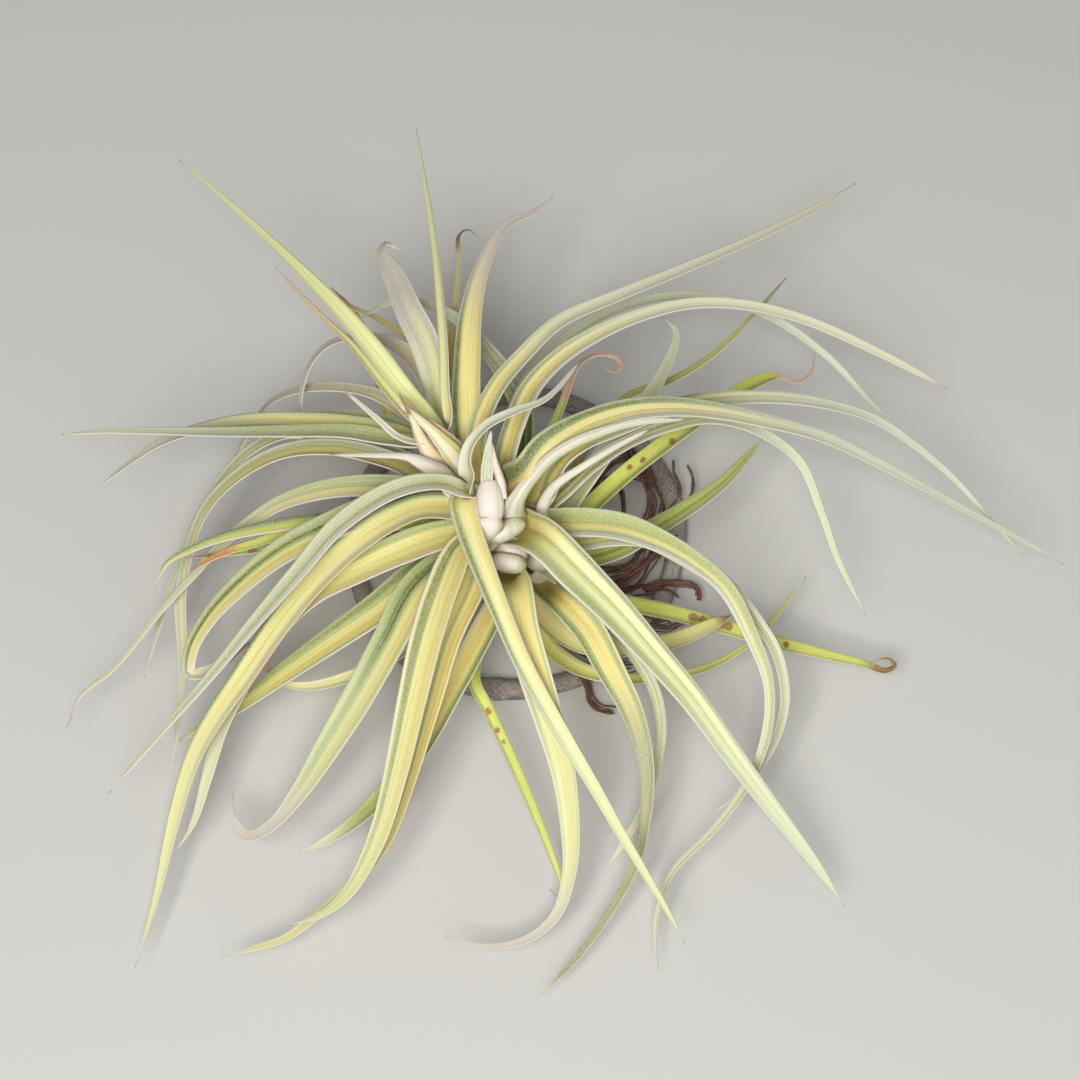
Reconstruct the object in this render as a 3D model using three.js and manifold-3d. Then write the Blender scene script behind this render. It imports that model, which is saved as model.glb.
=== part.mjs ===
// An air plant with two rosettes of long striped leaves, rooted on a ring of grey vine.
// Millimetres, +Z up. The ring lies flat on the surface and the plant grows up from it.
import * as THREE from 'three';
import { mergeVertices } from 'three/addons/utils/BufferGeometryUtils.js';
import Module from 'manifold-3d';

const wasm = await Module();
wasm.setup();

// Clearance between touching pieces.
const GAP = 0.3;

// The ring of vine.
const RING_RADIUS = 72.2;
const RING_TUBE = 4.3;
const RING_FLAT = 0.7;
const RING_SIDES = 10;
const RING_STEPS = 52;
const RING_HEIGHT = RING_TUBE - RING_FLAT;

// The eye looks down on the ring. u and v are measured on the plane through the ring's centre
// that faces the eye: u to the right, v up.
const EYE_ELEVATION = THREE.MathUtils.degToRad(67.5);
const EYE_DISTANCE = 1300;
const EYE_AIM = new THREE.Vector3(11.25, 0, RING_HEIGHT);
const EYE_FORWARD = new THREE.Vector3(0, Math.cos(EYE_ELEVATION), -Math.sin(EYE_ELEVATION));
const EYE_UP = new THREE.Vector3(0, Math.sin(EYE_ELEVATION), Math.cos(EYE_ELEVATION));
const EYE = EYE_AIM.clone().addScaledVector(EYE_FORWARD, -EYE_DISTANCE);

// The leaves' section: a shallow channel, thick in the middle and thin at the edges.
const EDGE_THICKNESS = 0.62;
const MIDDLE_THICKNESS = [1.5, 0.9];
const CHANNEL_DEPTH = [0.2, 0.08];
const STATION_LENGTH = 22;
const STATION_TURN = 0.5;
// Seen from the eye a channelled blade looks narrower than it is.
const FULLNESS = 1.13;

// The two stems lean: each has a base, a crown and the radii of its bulb of sheaths.
const STEMS = {
  main: {
    base: new THREE.Vector3(18, -31, 9),
    crown: new THREE.Vector3(-11, -18, 95),
    radii: [8, 11, 12.5, 12.5, 11.5, 9.5, 7, 4],
  },
  pup: {
    base: new THREE.Vector3(8, -24, 16),
    crown: new THREE.Vector3(-34, 20, 85),
    radii: [6, 8, 9.5, 10, 9.5, 8.5, 7, 4],
  },
};
const STEM_SIDES = 14;
const ROOT_SIDES = 5;

const LOOKS = {
  variegated: new THREE.MeshStandardMaterial({ color: 0xc9cf86, roughness: 0.55, metalness: 0 }),
  scurfy: new THREE.MeshStandardMaterial({ color: 0xb9bda6, roughness: 0.7, metalness: 0 }),
  old: new THREE.MeshStandardMaterial({ color: 0xa9b548, roughness: 0.5, metalness: 0 }),
  sheath: new THREE.MeshStandardMaterial({ color: 0xe2ddcb, roughness: 0.6, metalness: 0 }),
  root: new THREE.MeshStandardMaterial({ color: 0x6e4a3c, roughness: 0.85, metalness: 0 }),
  vine: new THREE.MeshStandardMaterial({ color: 0x8f8684, roughness: 0.9, metalness: 0 }),
};

// Each leaf leaves its stem at foot, a share of the way from base to crown. Its route passes
// through points [u, v, height]. width is spread evenly from foot to tip.
const LEAVES = [
  // Main rosette, front: the long thin leaf on top, then the ones it crosses.
  { stem: 'main', look: 'scurfy', foot: 0.8, width: [7, 10, 9, 8, 7, 6, 4.6, 4, 3.4, 2.4, 1],
    route: [[-16, 13, 86.5], [-22, 12, 91.5], [-20, 4, 94], [-13.5, -14, 94], [-5.5, -34, 92], [3, -54, 88],
      [12, -71, 83], [23, -90, 76], [35, -110, 66], [46.5, -130, 55], [58.5, -150, 43], [70.3, -170, 30],
      [76.5, -182, 23]] },
  { stem: 'main', look: 'variegated', foot: 0.74, width: [8, 13, 13.5, 13, 12, 10.5, 9, 7.5, 5.5, 4, 2.6, 1],
    route: [[-1, -10, 82], [1, -24, 84], [4, -42, 83], [9.5, -61, 78], [16, -82, 70], [22, -104, 59],
      [25, -127, 46], [24.8, -149, 33], [18.5, -169, 23], [5, -180, 18], [-12, -183, 16],
      [-32, -178.5, 17]] },
  { stem: 'main', look: 'variegated', foot: 0.84, width: [9, 15, 15, 13, 11, 9.6, 8.6, 7.5, 6, 4, 1],
    route: [[4, 6, 91], [14, -1, 93], [28, -15, 90], [45, -32, 84], [62, -51, 76], [80, -72, 66],
      [98, -97, 54], [116, -121, 42], [133, -143, 31], [148.5, -165, 20]] },
  { stem: 'main', look: 'variegated', foot: 0.55, width: [7, 10, 12, 11, 9, 7, 5, 4, 3.6, 2.6, 1],
    route: [[12, -20, 62], [22, -28, 66], [33, -40, 66], [43, -58, 62], [51.5, -80, 54], [57, -103, 44],
      [57, -124, 35], [52.5, -146, 27], [41, -170, 20], [24, -192.5, 14], [10, -206, 12]] },
  { stem: 'main', look: 'old', foot: 0.38, width: [6, 8, 8, 8, 7.5, 7, 5.5, 1],
    route: [[12, -32, 42], [24, -44, 45], [38, -49, 47], [55, -48.5, 47], [70, -46, 46], [85, -40, 44],
      [97, -34, 42]] },
  { stem: 'main', look: 'variegated', foot: 0.28, width: [5, 7, 7.5, 6, 5, 4, 2.6, 2, 1],
    route: [[13, -44, 28], [25, -56, 29], [40, -61.5, 29], [60, -62.5, 28], [85, -58, 25], [103, -48.5, 21],
      [114, -38.5, 19], [131, -16.5, 18]] },
  { stem: 'main', look: 'scurfy', foot: 0.45, width: [5, 6.5, 6, 5, 4.6, 4, 3, 2.5, 1.2],
    route: [[24, -20, 54], [40, -36, 56], [54, -52, 54], [63, -68, 48], [66, -85, 40], [63, -105, 31],
      [56, -124, 24], [43, -145.5, 19]] },
  { stem: 'main', look: 'old', foot: 0.33, width: [4, 5.5, 5, 5, 4.6, 4.4, 4, 3, 2.2, 1.2],
    route: [[30, -20, 38], [47, -26, 38], [70, -31.5, 35], [90, -37.5, 31], [117, -45.5, 27],
      [140, -51, 23], [158, -56, 20], [167, -59, 19], [171, -56.5, 18.5], [168, -53.5, 18.5],
      [161, -54.5, 18.5]] },
  { stem: 'main', look: 'old', foot: 0.3, width: [4, 5, 5, 5, 4.4, 4, 3.4, 2.4, 1],
    route: [[-6, -30, 34], [-16, -50, 34], [-18, -64, 33], [-12, -76, 31], [-2, -97, 28], [8, -120, 24],
      [17, -143, 19], [20.5, -154, 16], [19, -160, 14.5], [15.5, -157, 14]] },
  // Main rosette, right.
  { stem: 'main', look: 'variegated', foot: 0.7, width: [8, 12, 13.5, 12.5, 10.5, 8, 5.5, 4.8, 4, 3, 2.2, 2, 1.6, 1],
    route: [[11, 6, 77], [25, 8, 85], [45, 7, 88], [61, 2, 87], [78, -8, 82], [94, -23, 75], [106, -43, 66],
      [113, -65, 56], [112.5, -88, 46], [104.5, -110, 37], [90, -130, 29], [71, -149.5, 22],
      [64.5, -166, 17], [63, -180, 14.5], [64.5, -193.5, 13]] },
  { stem: 'main', look: 'scurfy', foot: 0.66, width: [7, 9, 9.5, 9, 8, 7, 6, 4.5, 4, 3.6, 3.2, 3, 1.2],
    route: [[15, -1, 72], [30, -1, 77], [45, 1, 79], [60, 0, 78], [78, -9, 73], [95, -21, 67],
      [109, -37, 59], [118, -52, 51], [121.5, -72, 42], [117.5, -89, 34], [108, -105, 28],
      [98, -116.5, 24], [91, -122, 22]] },
  { stem: 'main', look: 'old', foot: 0.52, width: [6, 7.5, 8, 7.5, 7, 6, 5, 3.5, 1],
    route: [[20, -9, 58], [35, -8, 62], [48, -4, 63], [60, 3, 62], [75, 12, 57], [94, 26, 50],
      [112, 46, 42]] },
  { stem: 'main', look: 'variegated', foot: 0.92, width: [9, 12, 11, 9, 7.5, 6, 5, 4.5, 4, 3.4, 2.8, 2, 1],
    route: [[-2, 15, 97], [6, 26, 104], [15, 39, 111], [30, 50.5, 115], [50, 58, 116], [70, 60, 113],
      [90, 58.5, 107], [115, 53.5, 98], [140, 45.5, 87], [170, 31, 72], [200, 15, 56], [230, -1, 42],
      [247, -11, 35]] },
  { stem: 'main', look: 'variegated', foot: 0.74, width: [8, 10, 9.5, 9, 8, 7, 6, 5, 4, 3, 2.4, 1.6, 1],
    route: [[9, 17, 81], [18, 31, 90], [32, 43.5, 97], [50, 51.5, 101], [75, 60, 99], [100, 63.5, 93],
      [130, 62.5, 83], [160, 55, 70], [180, 45, 61], [200, 29, 51], [217, 10, 42], [229, -7.5, 36]] },
  { stem: 'main', look: 'scurfy', foot: 0.66, width: [6, 7, 7, 6, 5, 4.2, 3.6, 3, 2.4, 1],
    route: [[20, 19, 76], [35, 33, 82], [52, 44, 86], [72, 51.5, 86], [90, 54, 83], [110, 48.5, 76],
      [128, 35, 66], [138, 12, 54], [145, -8, 45], [158, -34.6, 35]] },
  { stem: 'main', look: 'scurfy', foot: 0.55, width: [6, 8, 8, 7.5, 6.5, 5.5, 4, 2.6, 1.2],
    route: [[18, 6, 62], [27, 19, 68], [38, 35, 74], [51, 54, 77], [61.5, 69, 75], [70, 86, 70], [71, 94, 67],
      [66, 99.5, 64]] },
  { stem: 'main', look: 'old', foot: 0.4, width: [4, 5, 4.5, 4, 3.4, 2.8, 1],
    route: [[22, 22, 54], [35, 45, 60], [50, 64, 62], [70, 71.5, 61], [90, 84, 57], [110, 104, 50],
      [122, 118, 46]] },
  { stem: 'main', look: 'old', foot: 0.45, width: [6, 8, 8, 7.5, 7, 6, 5, 3, 1.4, 1],
    route: [[24, 5, 52], [35, 15.4, 56], [50, 29, 58], [67, 42.3, 57], [85, 55.5, 53], [103, 68, 47],
      [118, 73.7, 42], [127, 70.8, 40], [133, 75, 39], [135, 86, 38]] },
  { stem: 'main', look: 'old', foot: 0.6, width: [4, 5, 5, 4.4, 3.6, 3, 2, 1.4, 1],
    route: [[10, 28, 70], [15, 45, 75], [21, 60, 77], [28, 78, 75], [33, 82, 73], [38, 83.5, 72],
      [45.5, 82, 71], [48, 78.5, 71], [44.5, 75.5, 72.5], [40, 77.5, 75]] },
  // Main rosette, top.
  { stem: 'main', look: 'scurfy', foot: 0.98, width: [7, 9, 8, 6.5, 5.5, 5, 4, 1.2],
    route: [[-16, 25, 107], [-21, 31, 112], [-22, 39, 116], [-18, 47.5, 118], [-10, 53, 119], [5, 59, 119],
      [18, 67, 117], [29, 80, 114]] },
  { stem: 'main', look: 'variegated', foot: 0.88, width: [6, 7, 6, 5, 4.4, 4, 3.6, 3, 2.4, 1],
    route: [[-17, 36, 95], [-15, 52, 103], [-8, 68, 107], [4, 82.5, 108], [20, 97.5, 106], [45, 110, 99],
      [75, 122.5, 88], [110, 138, 74], [140, 153, 62], [153, 161, 57]] },
  { stem: 'main', look: 'variegated', foot: 0.82, width: [7, 9, 10, 9.5, 8.5, 7.5, 6, 5, 4, 3, 1],
    route: [[-5, 30, 88], [0, 50, 95], [8, 68, 99], [20, 81, 100], [35, 91, 100], [55, 100, 98],
      [80, 106, 93], [105, 107, 87], [130, 101, 79], [160, 88, 68], [195, 69, 54]] },
  { stem: 'main', look: 'scurfy', foot: 0.62, width: [5, 6, 6.5, 6, 5.5, 5, 4, 3.2, 2.4, 1],
    route: [[-2, 45, 74], [3, 65, 79], [15, 82, 82], [35, 100, 82], [60, 109.5, 78], [85, 111, 72],
      [112, 102, 64], [140, 83, 54], [160, 62, 47], [173, 49, 43]] },
  { stem: 'main', look: 'variegated', foot: 0.7, width: [8, 11, 12.5, 12, 10.5, 8.5, 6, 3.6, 1.2],
    route: [[-18, 38, 76], [-21, 58, 84], [-21, 80, 90], [-19, 105, 91], [-13, 126, 88], [-3, 142, 83],
      [9, 148, 80], [17, 154.5, 78]] },
  { stem: 'main', look: 'old', foot: 0.42, width: [3.5, 4, 3.6, 3, 2.6, 2, 1.4, 1],
    route: [[-12, 38, 58], [-22, 60, 66], [-28, 78, 67], [-28, 95, 65.5], [-27, 105, 64], [-25.3, 125, 60],
      [-25, 137, 58], [-21, 139.5, 58], [-17, 137, 58]] },
  { stem: 'main', look: 'scurfy', foot: 0.55, width: [5, 7, 8, 8, 7, 5.5, 4, 3, 1],
    route: [[4, 40, 64], [4, 56, 68], [-3, 72, 71], [-14, 87, 72], [-27, 100, 72], [-42, 106.5, 71],
      [-57, 106.5, 70], [-72, 98, 68]] },
  // Main rosette, left.
  { stem: 'main', look: 'scurfy', foot: 0.86, width: [8, 9, 9, 9, 8.5, 7.5, 6, 4.6, 3.2, 2.2, 1],
    route: [[-18, 19.5, 92], [-24, 24.5, 98], [-32, 27.5, 103], [-45, 26, 107], [-60, 20, 106],
      [-80, 6, 101], [-100, -15, 92], [-120, -38, 80], [-140, -63, 67], [-160, -86.5, 53],
      [-183, -114, 38]] },
  { stem: 'main', look: 'variegated', foot: 0.75, width: [9, 12, 12, 12.5, 12, 11, 10, 9, 7.5, 6, 5, 3.6, 2, 1],
    route: [[-16, 12, 80], [-28, 13.5, 84], [-42, 13.5, 88], [-58, 7, 90], [-75, -5, 86], [-92, -20, 79],
      [-108, -39, 71], [-124, -61.5, 61], [-137, -79, 52], [-147, -99, 43], [-156, -127, 32],
      [-163, -162, 21], [-171, -192, 14]] },
  { stem: 'main', look: 'variegated', foot: 0.74, width: [8, 10, 11, 11, 10.5, 10, 9, 8, 6, 4, 3, 1.2],
    route: [[-22, 13, 77], [-45, 18, 82], [-65, 15, 84], [-85, 7, 84], [-105, -5, 81], [-123, -19, 75],
      [-137, -35, 67], [-145.5, -50, 60], [-146, -60, 57], [-138, -59, 56], [-127, -52, 55],
      [-119, -46, 54]] },
  { stem: 'main', look: 'variegated', foot: 0.64, width: [6, 8, 9, 8.5, 7.5, 6, 5, 4, 3, 2.4, 1.6, 1],
    route: [[-22, 17, 70], [-45, 24, 73], [-65, 26, 74], [-85, 24.5, 72], [-105, 19, 67], [-122, 8.5, 61],
      [-133, -1, 56], [-145, -15, 50], [-160, -33, 42], [-180, -57.5, 33], [-196, -71, 27],
      [-201.5, -84, 24]] },
  { stem: 'main', look: 'old', foot: 0.55, width: [6, 8, 8, 7, 6.5, 6, 5, 3.6, 2.4, 1],
    route: [[-20, 6.5, 67], [-45, 8, 69], [-70, 10, 73], [-92, 9.5, 74], [-110, 7, 73.5], [-130, 2.5, 70],
      [-146, -4, 66], [-157, -11, 62], [-162, -22, 57]] },
  { stem: 'main', look: 'old', foot: 0.47, width: [5, 6, 6, 5.5, 5, 5, 4.4, 3, 1],
    route: [[-20, -0.5, 59], [-50, 4, 63], [-80, 6, 67], [-100, 4, 68], [-115, -1, 67], [-130, -5.5, 66],
      [-141, -11, 64], [-148, -17, 62]] },
  { stem: 'main', look: 'old', foot: 0.38, width: [4, 5, 5, 4.6, 4, 3.4, 2.6, 1],
    route: [[-25, -5, 50], [-60, 0, 58], [-90, 1, 61.5], [-105, -2.5, 62], [-120, -5, 61], [-135, -7, 59.5],
      [-148, -8, 58]] },
  { stem: 'main', look: 'variegated', foot: 0.68, width: [8, 11, 13, 12, 10, 8, 6.5, 5, 4, 2.4, 1],
    route: [[-18, 3, 74], [-35, 0, 78], [-52, -6, 78], [-70, -15, 75], [-88, -28, 70], [-105, -46, 62],
      [-120, -65, 51], [-133, -86, 41], [-141, -108, 33], [-147, -127, 27], [-152.5, -140.5, 24]] },
  { stem: 'main', look: 'variegated', foot: 0.46, width: [7, 9, 10, 10, 8.5, 7, 5.5, 3.6, 1.2],
    route: [[-18, -10, 54], [-40, -15, 62], [-60, -30, 62], [-80, -43.5, 57], [-100, -57, 48],
      [-120, -71, 38], [-137, -83, 29], [-153, -91, 23]] },
  { stem: 'main', look: 'variegated', foot: 0.76, width: [8, 11, 13.5, 13.5, 13, 12, 10.5, 8, 6.5, 5, 3.4, 1.4],
    route: [[-14, 1, 80], [-24, -4, 84], [-33, -22, 86], [-41, -45, 84], [-48, -72, 77], [-54, -100, 66],
      [-60, -127, 54], [-67, -145, 46], [-76, -160, 39], [-88, -169, 34], [-101.5, -173.5, 31]] },
  { stem: 'main', look: 'variegated', foot: 0.7, width: [7, 10, 12, 11, 10, 8, 6, 5, 4.5, 4, 3.6, 2.6, 1.4],
    route: [[-10, -10, 74], [-20, -24, 76], [-30, -46, 73], [-39, -78, 64], [-48, -110, 51], [-58, -136, 40],
      [-72, -154, 31], [-88, -168, 24], [-103, -179, 19], [-120, -184.5, 16], [-131.5, -187, 14.5]] },
  { stem: 'main', look: 'variegated', foot: 0.46, width: [7, 9, 11, 11, 9, 7, 5.5, 4, 1.4],
    route: [[-4, -22, 54], [-14, -42, 57], [-28, -68, 54], [-42, -93, 45], [-56, -111, 36], [-70, -125, 29],
      [-84, -135, 24], [-97, -140.5, 21]] },
  { stem: 'main', look: 'scurfy', foot: 0.6, width: [7, 10, 13, 13, 12, 11, 10, 8, 5.5, 3.6, 1.4],
    route: [[-16, -6, 65], [-30, -10, 70], [-45, -22, 74], [-58, -45, 72], [-72, -70, 64], [-86, -95, 53],
      [-98, -114, 43], [-110, -128, 35], [-121, -132.5, 30], [-127, -124, 27], [-127, -114, 26]] },
  { stem: 'main', look: 'scurfy', foot: 0.4, width: [5, 6, 6, 5, 4, 3, 2, 1.4, 1],
    route: [[-15, -22, 50], [-35, -37, 53], [-55, -53, 51], [-75, -62, 46], [-95, -66, 41],
      [-107, -62.5, 38], [-112, -56, 37], [-109, -49, 37]] },
  // Pup, top.
  { stem: 'pup', look: 'variegated', foot: 0.9, width: [5, 8, 9, 8.5, 7.5, 6, 4.5, 3, 1],
    route: [[-38, 54, 90], [-50, 67.5, 97], [-65, 87, 101], [-80, 104.5, 101], [-100, 125, 97],
      [-120, 144, 90], [-137, 159, 84], [-151, 171, 79]] },
  { stem: 'pup', look: 'old', foot: 0.84, width: [4, 6, 6, 5, 3.6, 2.4, 1],
    route: [[-37, 47, 80], [-46, 55, 86], [-58, 69, 91], [-72, 86.5, 92], [-88, 102, 90], [-108, 123, 85]] },
  { stem: 'pup', look: 'old', foot: 0.62, width: [3, 4, 3.6, 3.2, 2.6, 2, 1],
    route: [[-26, 55, 60], [-34, 78, 62], [-46, 93.5, 62], [-62, 103, 60], [-78, 110, 58], [-91, 120, 56]] },
  { stem: 'pup', look: 'old', foot: 0.44, width: [4, 5, 5, 4, 3, 2.4, 1],
    route: [[-28, 32, 47], [-46, 44, 50], [-56, 56, 52], [-61, 70, 53], [-65, 86, 53], [-71, 101, 52],
      [-83, 114, 50]] },
  { stem: 'pup', look: 'scurfy', foot: 0.6, width: [5, 8, 8, 7, 5.5, 4, 3, 2, 1],
    route: [[-32, 55, 66], [-36, 67, 72], [-44, 79, 77], [-56, 88, 79], [-70, 91, 79], [-84, 87.5, 77],
      [-93, 77, 72], [-96.5, 62, 66], [-96, 50, 62]] },
  { stem: 'pup', look: 'scurfy', foot: 0.72, width: [6, 9, 10, 9, 8, 6.5, 4, 2.4, 1.4],
    route: [[-32, 56, 76], [-35, 72, 84], [-40, 88, 89], [-47.5, 103, 91], [-54, 118, 89], [-60, 129, 87],
      [-58, 133.5, 86.5], [-52, 130.5, 86]] },
  { stem: 'pup', look: 'variegated', foot: 0.86, width: [4, 5.5, 5.5, 5, 4.2, 3.4, 2, 1],
    route: [[-29, 51, 92], [-31, 66, 99], [-31.8, 85, 102], [-34, 112, 99], [-36.5, 135, 93],
      [-41.5, 166, 83], [-44.7, 186, 77]] },
  // Pup, left.
  { stem: 'pup', look: 'variegated', foot: 0.88, width: [6, 8, 8, 7, 6, 5, 4, 3, 2, 1],
    route: [[-41, 42, 86], [-55, 44, 90], [-75, 47.5, 92], [-100, 49.2, 91], [-130, 49.5, 86],
      [-160, 49.3, 79], [-185, 48.7, 73], [-204, 47.5, 68]] },
  { stem: 'pup', look: 'variegated', foot: 0.8, width: [5, 7, 8, 8, 7, 6, 4.6, 2.6, 1],
    route: [[-38, 42, 75], [-50, 47, 81], [-70, 50.5, 84], [-95, 53.3, 82], [-120, 54, 77], [-140, 51, 71],
      [-160, 44, 64], [-187.5, 24, 55]] },
  { stem: 'pup', look: 'scurfy', foot: 0.72, width: [5, 6, 6, 5, 3, 1],
    route: [[-36, 42, 70], [-48, 48.5, 74], [-62, 53.5, 76], [-78, 56, 75], [-96, 55, 72], [-110, 53, 69]] },
  { stem: 'pup', look: 'scurfy', foot: 0.52, width: [4, 5, 5, 5, 4.4, 3.4, 2.2, 1],
    route: [[-34, 44, 55], [-48, 56, 61], [-62, 64.5, 64], [-80, 68.3, 65], [-96, 67.3, 60],
      [-110, 61.5, 55], [-120, 48, 48], [-130, 28, 42]] },
  { stem: 'pup', look: 'variegated', foot: 0.54, width: [4, 6, 7, 6.5, 6, 5, 4, 3, 2, 1],
    route: [[-38, 30, 54], [-55, 37.5, 57], [-78, 43.5, 60], [-100, 47.5, 60], [-118, 40, 55],
      [-134, 23, 48], [-145, 3, 41], [-153, -15, 35], [-159, -35, 30], [-167, -62, 24]] },
  { stem: 'pup', look: 'scurfy', foot: 0.62, width: [6, 8, 8, 8, 7.5, 6.5, 5, 4, 3, 2, 1],
    route: [[-34, 25, 60], [-55, 34, 64], [-80, 40, 67], [-103, 38.5, 66], [-122, 29.5, 62],
      [-138, 14, 55], [-146, -5, 46], [-150, -25, 40], [-149.5, -55, 36], [-153.5, -101, 32]] },
  { stem: 'pup', look: 'scurfy', foot: 0.78, width: [9, 10, 8, 5, 3, 1],
    route: [[-30, 31, 84], [-40, 36, 93], [-52, 39.5, 97], [-66, 39.3, 97], [-81, 38.5, 94]] },
  { stem: 'pup', look: 'scurfy', foot: 0.98, width: [3.5, 4, 3, 2, 1],
    route: [[-41, 43.5, 96], [-52, 46, 98], [-62, 54.5, 101], [-77, 67.5, 103]] },
];

// Young leaves still folded in the hearts. They are one body with their bulb.
const YOUNG_LEAVES = [
  { stem: 'main', foot: 0.9, width: [9, 8, 4.5, 1.4], route: [[-13.5, 25, 103], [-12, 31, 108]] },
  { stem: 'main', foot: 0.9, width: [7, 6, 4, 2.6, 1], route: [[-13, 33, 104], [-13, 44, 109], [-10, 51, 111]] },
  { stem: 'main', foot: 0.88, width: [6, 5, 3, 1.4], route: [[-5, 25, 97], [-7, 36, 103], [-9.5, 45, 106]] },
  { stem: 'pup', foot: 0.86, width: [8, 6.5, 4.5, 2, 1], route: [[-36, 48, 93], [-42, 53, 99], [-51, 61, 103]] },
  { stem: 'pup', foot: 0.9, width: [6, 5, 3, 1], route: [[-43, 47, 98], [-48, 56, 104], [-52.5, 66, 108]] },
  { stem: 'pup', foot: 0.9, width: [7, 6, 4, 1.4], route: [[-33, 52, 93], [-37, 57, 98], [-41, 61, 101]] },
];

// The roots: where on the ring each one lands, in degrees, how far it sways on the way and the
// angle round the vine at which it ends.
const ROOTS = [
  [-64, 4, -15], [-54, 5, -20], [-44, -3, 150], [-34, 6, -10], [-27, -4, 0], [-20, 3, 140], [-13, -5, -25],
  [-6, 4, 10], [1, -4, 130], [8, 5, -15], [16, -6, 0], [25, 4, 140], [35, -5, -10], [47, 5, 5],
];
const ROOT_RADIUS = 0.85;
const ROOT_CLEAR = ROOT_RADIUS + GAP + 0.25;
// A root meets the vine at this angle round it and bends on in steps.
const ROOT_LANDING = 150;
const ROOT_BEND = 40;
// How high a root runs near the knot and near the ring.
const ROOT_LEVELS = [6.4, 8.2];
const ROOT_STATION = 7;
const KNOT_RADIUS = 7.5;
const KNOT_FLOOR = 1.4;
const KNOT_SINK = 3;

// Where the sight line through (u, v) meets the level z.
function sight(u, v, z) {
  const onPlane = new THREE.Vector3(u, 0, RING_HEIGHT).addScaledVector(EYE_UP, v);
  const line = onPlane.sub(EYE);
  return EYE.clone().addScaledVector(line, (z - EYE.z) / line.z);
}

// A list of values spread evenly from 0 to 1, read at share t.
function spread(values, t) {
  const at = Math.min(t, 1) * (values.length - 1);
  const index = Math.min(Math.floor(at), values.length - 2);
  return THREE.MathUtils.lerp(values[index], values[index + 1], at - index);
}

// A closed body from rings of points, capped by the given triangles at both ends.
function loft(rings, capTriangles) {
  const sides = rings[0].length;
  const positions = rings.flat().flatMap((point) => point.toArray());
  const index = [];
  for (let ring = 0; ring + 1 < rings.length; ring += 1) {
    for (let side = 0; side < sides; side += 1) {
      const next = (side + 1) % sides;
      const a = ring * sides + side;
      const b = ring * sides + next;
      const c = a + sides;
      const d = b + sides;
      index.push(a, b, d, a, d, c);
    }
  }
  const last = (rings.length - 1) * sides;
  for (const [a, b, c] of capTriangles) {
    index.push(a, c, b);
    index.push(last + a, last + b, last + c);
  }
  return outward(new THREE.BufferGeometry()
    .setAttribute('position', new THREE.Float32BufferAttribute(positions, 3))
    .setIndex(index));
}

// The geometry with its faces turned outward.
function outward(geometry) {
  const position = geometry.getAttribute('position');
  const index = geometry.getIndex();
  const [a, b, c] = [new THREE.Vector3(), new THREE.Vector3(), new THREE.Vector3()];
  let volume = 0;
  for (let i = 0; i < index.count; i += 3) {
    a.fromBufferAttribute(position, index.getX(i));
    b.fromBufferAttribute(position, index.getX(i + 1));
    c.fromBufferAttribute(position, index.getX(i + 2));
    volume += a.dot(b.cross(c));
  }
  if (volume < 0) {
    for (let i = 0; i < index.count; i += 3) {
      const second = index.getX(i + 1);
      index.setX(i + 1, index.getX(i + 2));
      index.setX(i + 2, second);
    }
  }
  return geometry;
}

// A geometry as a solid that can be cut and joined, and back.
function solidOf(geometry) {
  const bare = geometry.clone();
  bare.deleteAttribute('normal');
  bare.deleteAttribute('uv');
  const merged = mergeVertices(bare, 1e-4);
  return new wasm.Manifold(new wasm.Mesh({
    numProp: 3,
    vertProperties: new Float32Array(merged.getAttribute('position').array),
    triVerts: new Uint32Array(merged.getIndex().array),
  }));
}

function geometryOf(solid) {
  const mesh = solid.getMesh();
  const geometry = new THREE.BufferGeometry()
    .setAttribute('position', new THREE.Float32BufferAttribute(mesh.vertProperties, 3))
    .setIndex([...mesh.triVerts]);
  geometry.computeVertexNormals();
  return geometry;
}

// The largest body of a solid.
function largest(solid) {
  const bodies = solid.decompose();
  return bodies.reduce((best, body) => (body.volume() > best.volume() ? body : best));
}

// A point at an angle along the ring and an angle round the vine, off its bark by extra. The
// vine wanders a little and swells and shrinks.
function ringPoint(along, around, extra) {
  const tube = RING_TUBE * (1 + 0.07 * Math.sin(3 * along + 1) + 0.04 * Math.sin(11 * along)) + extra;
  const middle = RING_RADIUS + 0.9 * Math.sin(2 * along + 0.6) + 0.5 * Math.sin(5 * along);
  const radius = middle + tube * Math.cos(around);
  const height = tube * Math.sin(around) + RING_HEIGHT;
  return new THREE.Vector3(radius * Math.cos(along), radius * Math.sin(along), height);
}

// The ring: a torus along the vine's wander, flat underneath where it rests.
function ringGeometry(extra) {
  const torus = new THREE.TorusGeometry(RING_RADIUS, RING_TUBE, RING_SIDES, RING_STEPS);
  const position = torus.getAttribute('position');
  for (let i = 0; i < position.count; i += 1) {
    const along = Math.atan2(position.getY(i), position.getX(i));
    const away = Math.hypot(position.getX(i), position.getY(i)) - RING_RADIUS;
    const around = Math.atan2(position.getZ(i), away);
    const point = ringPoint(along, around, extra);
    position.setXYZ(i, point.x, point.y, Math.max(point.z, -extra));
  }
  return torus;
}

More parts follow.
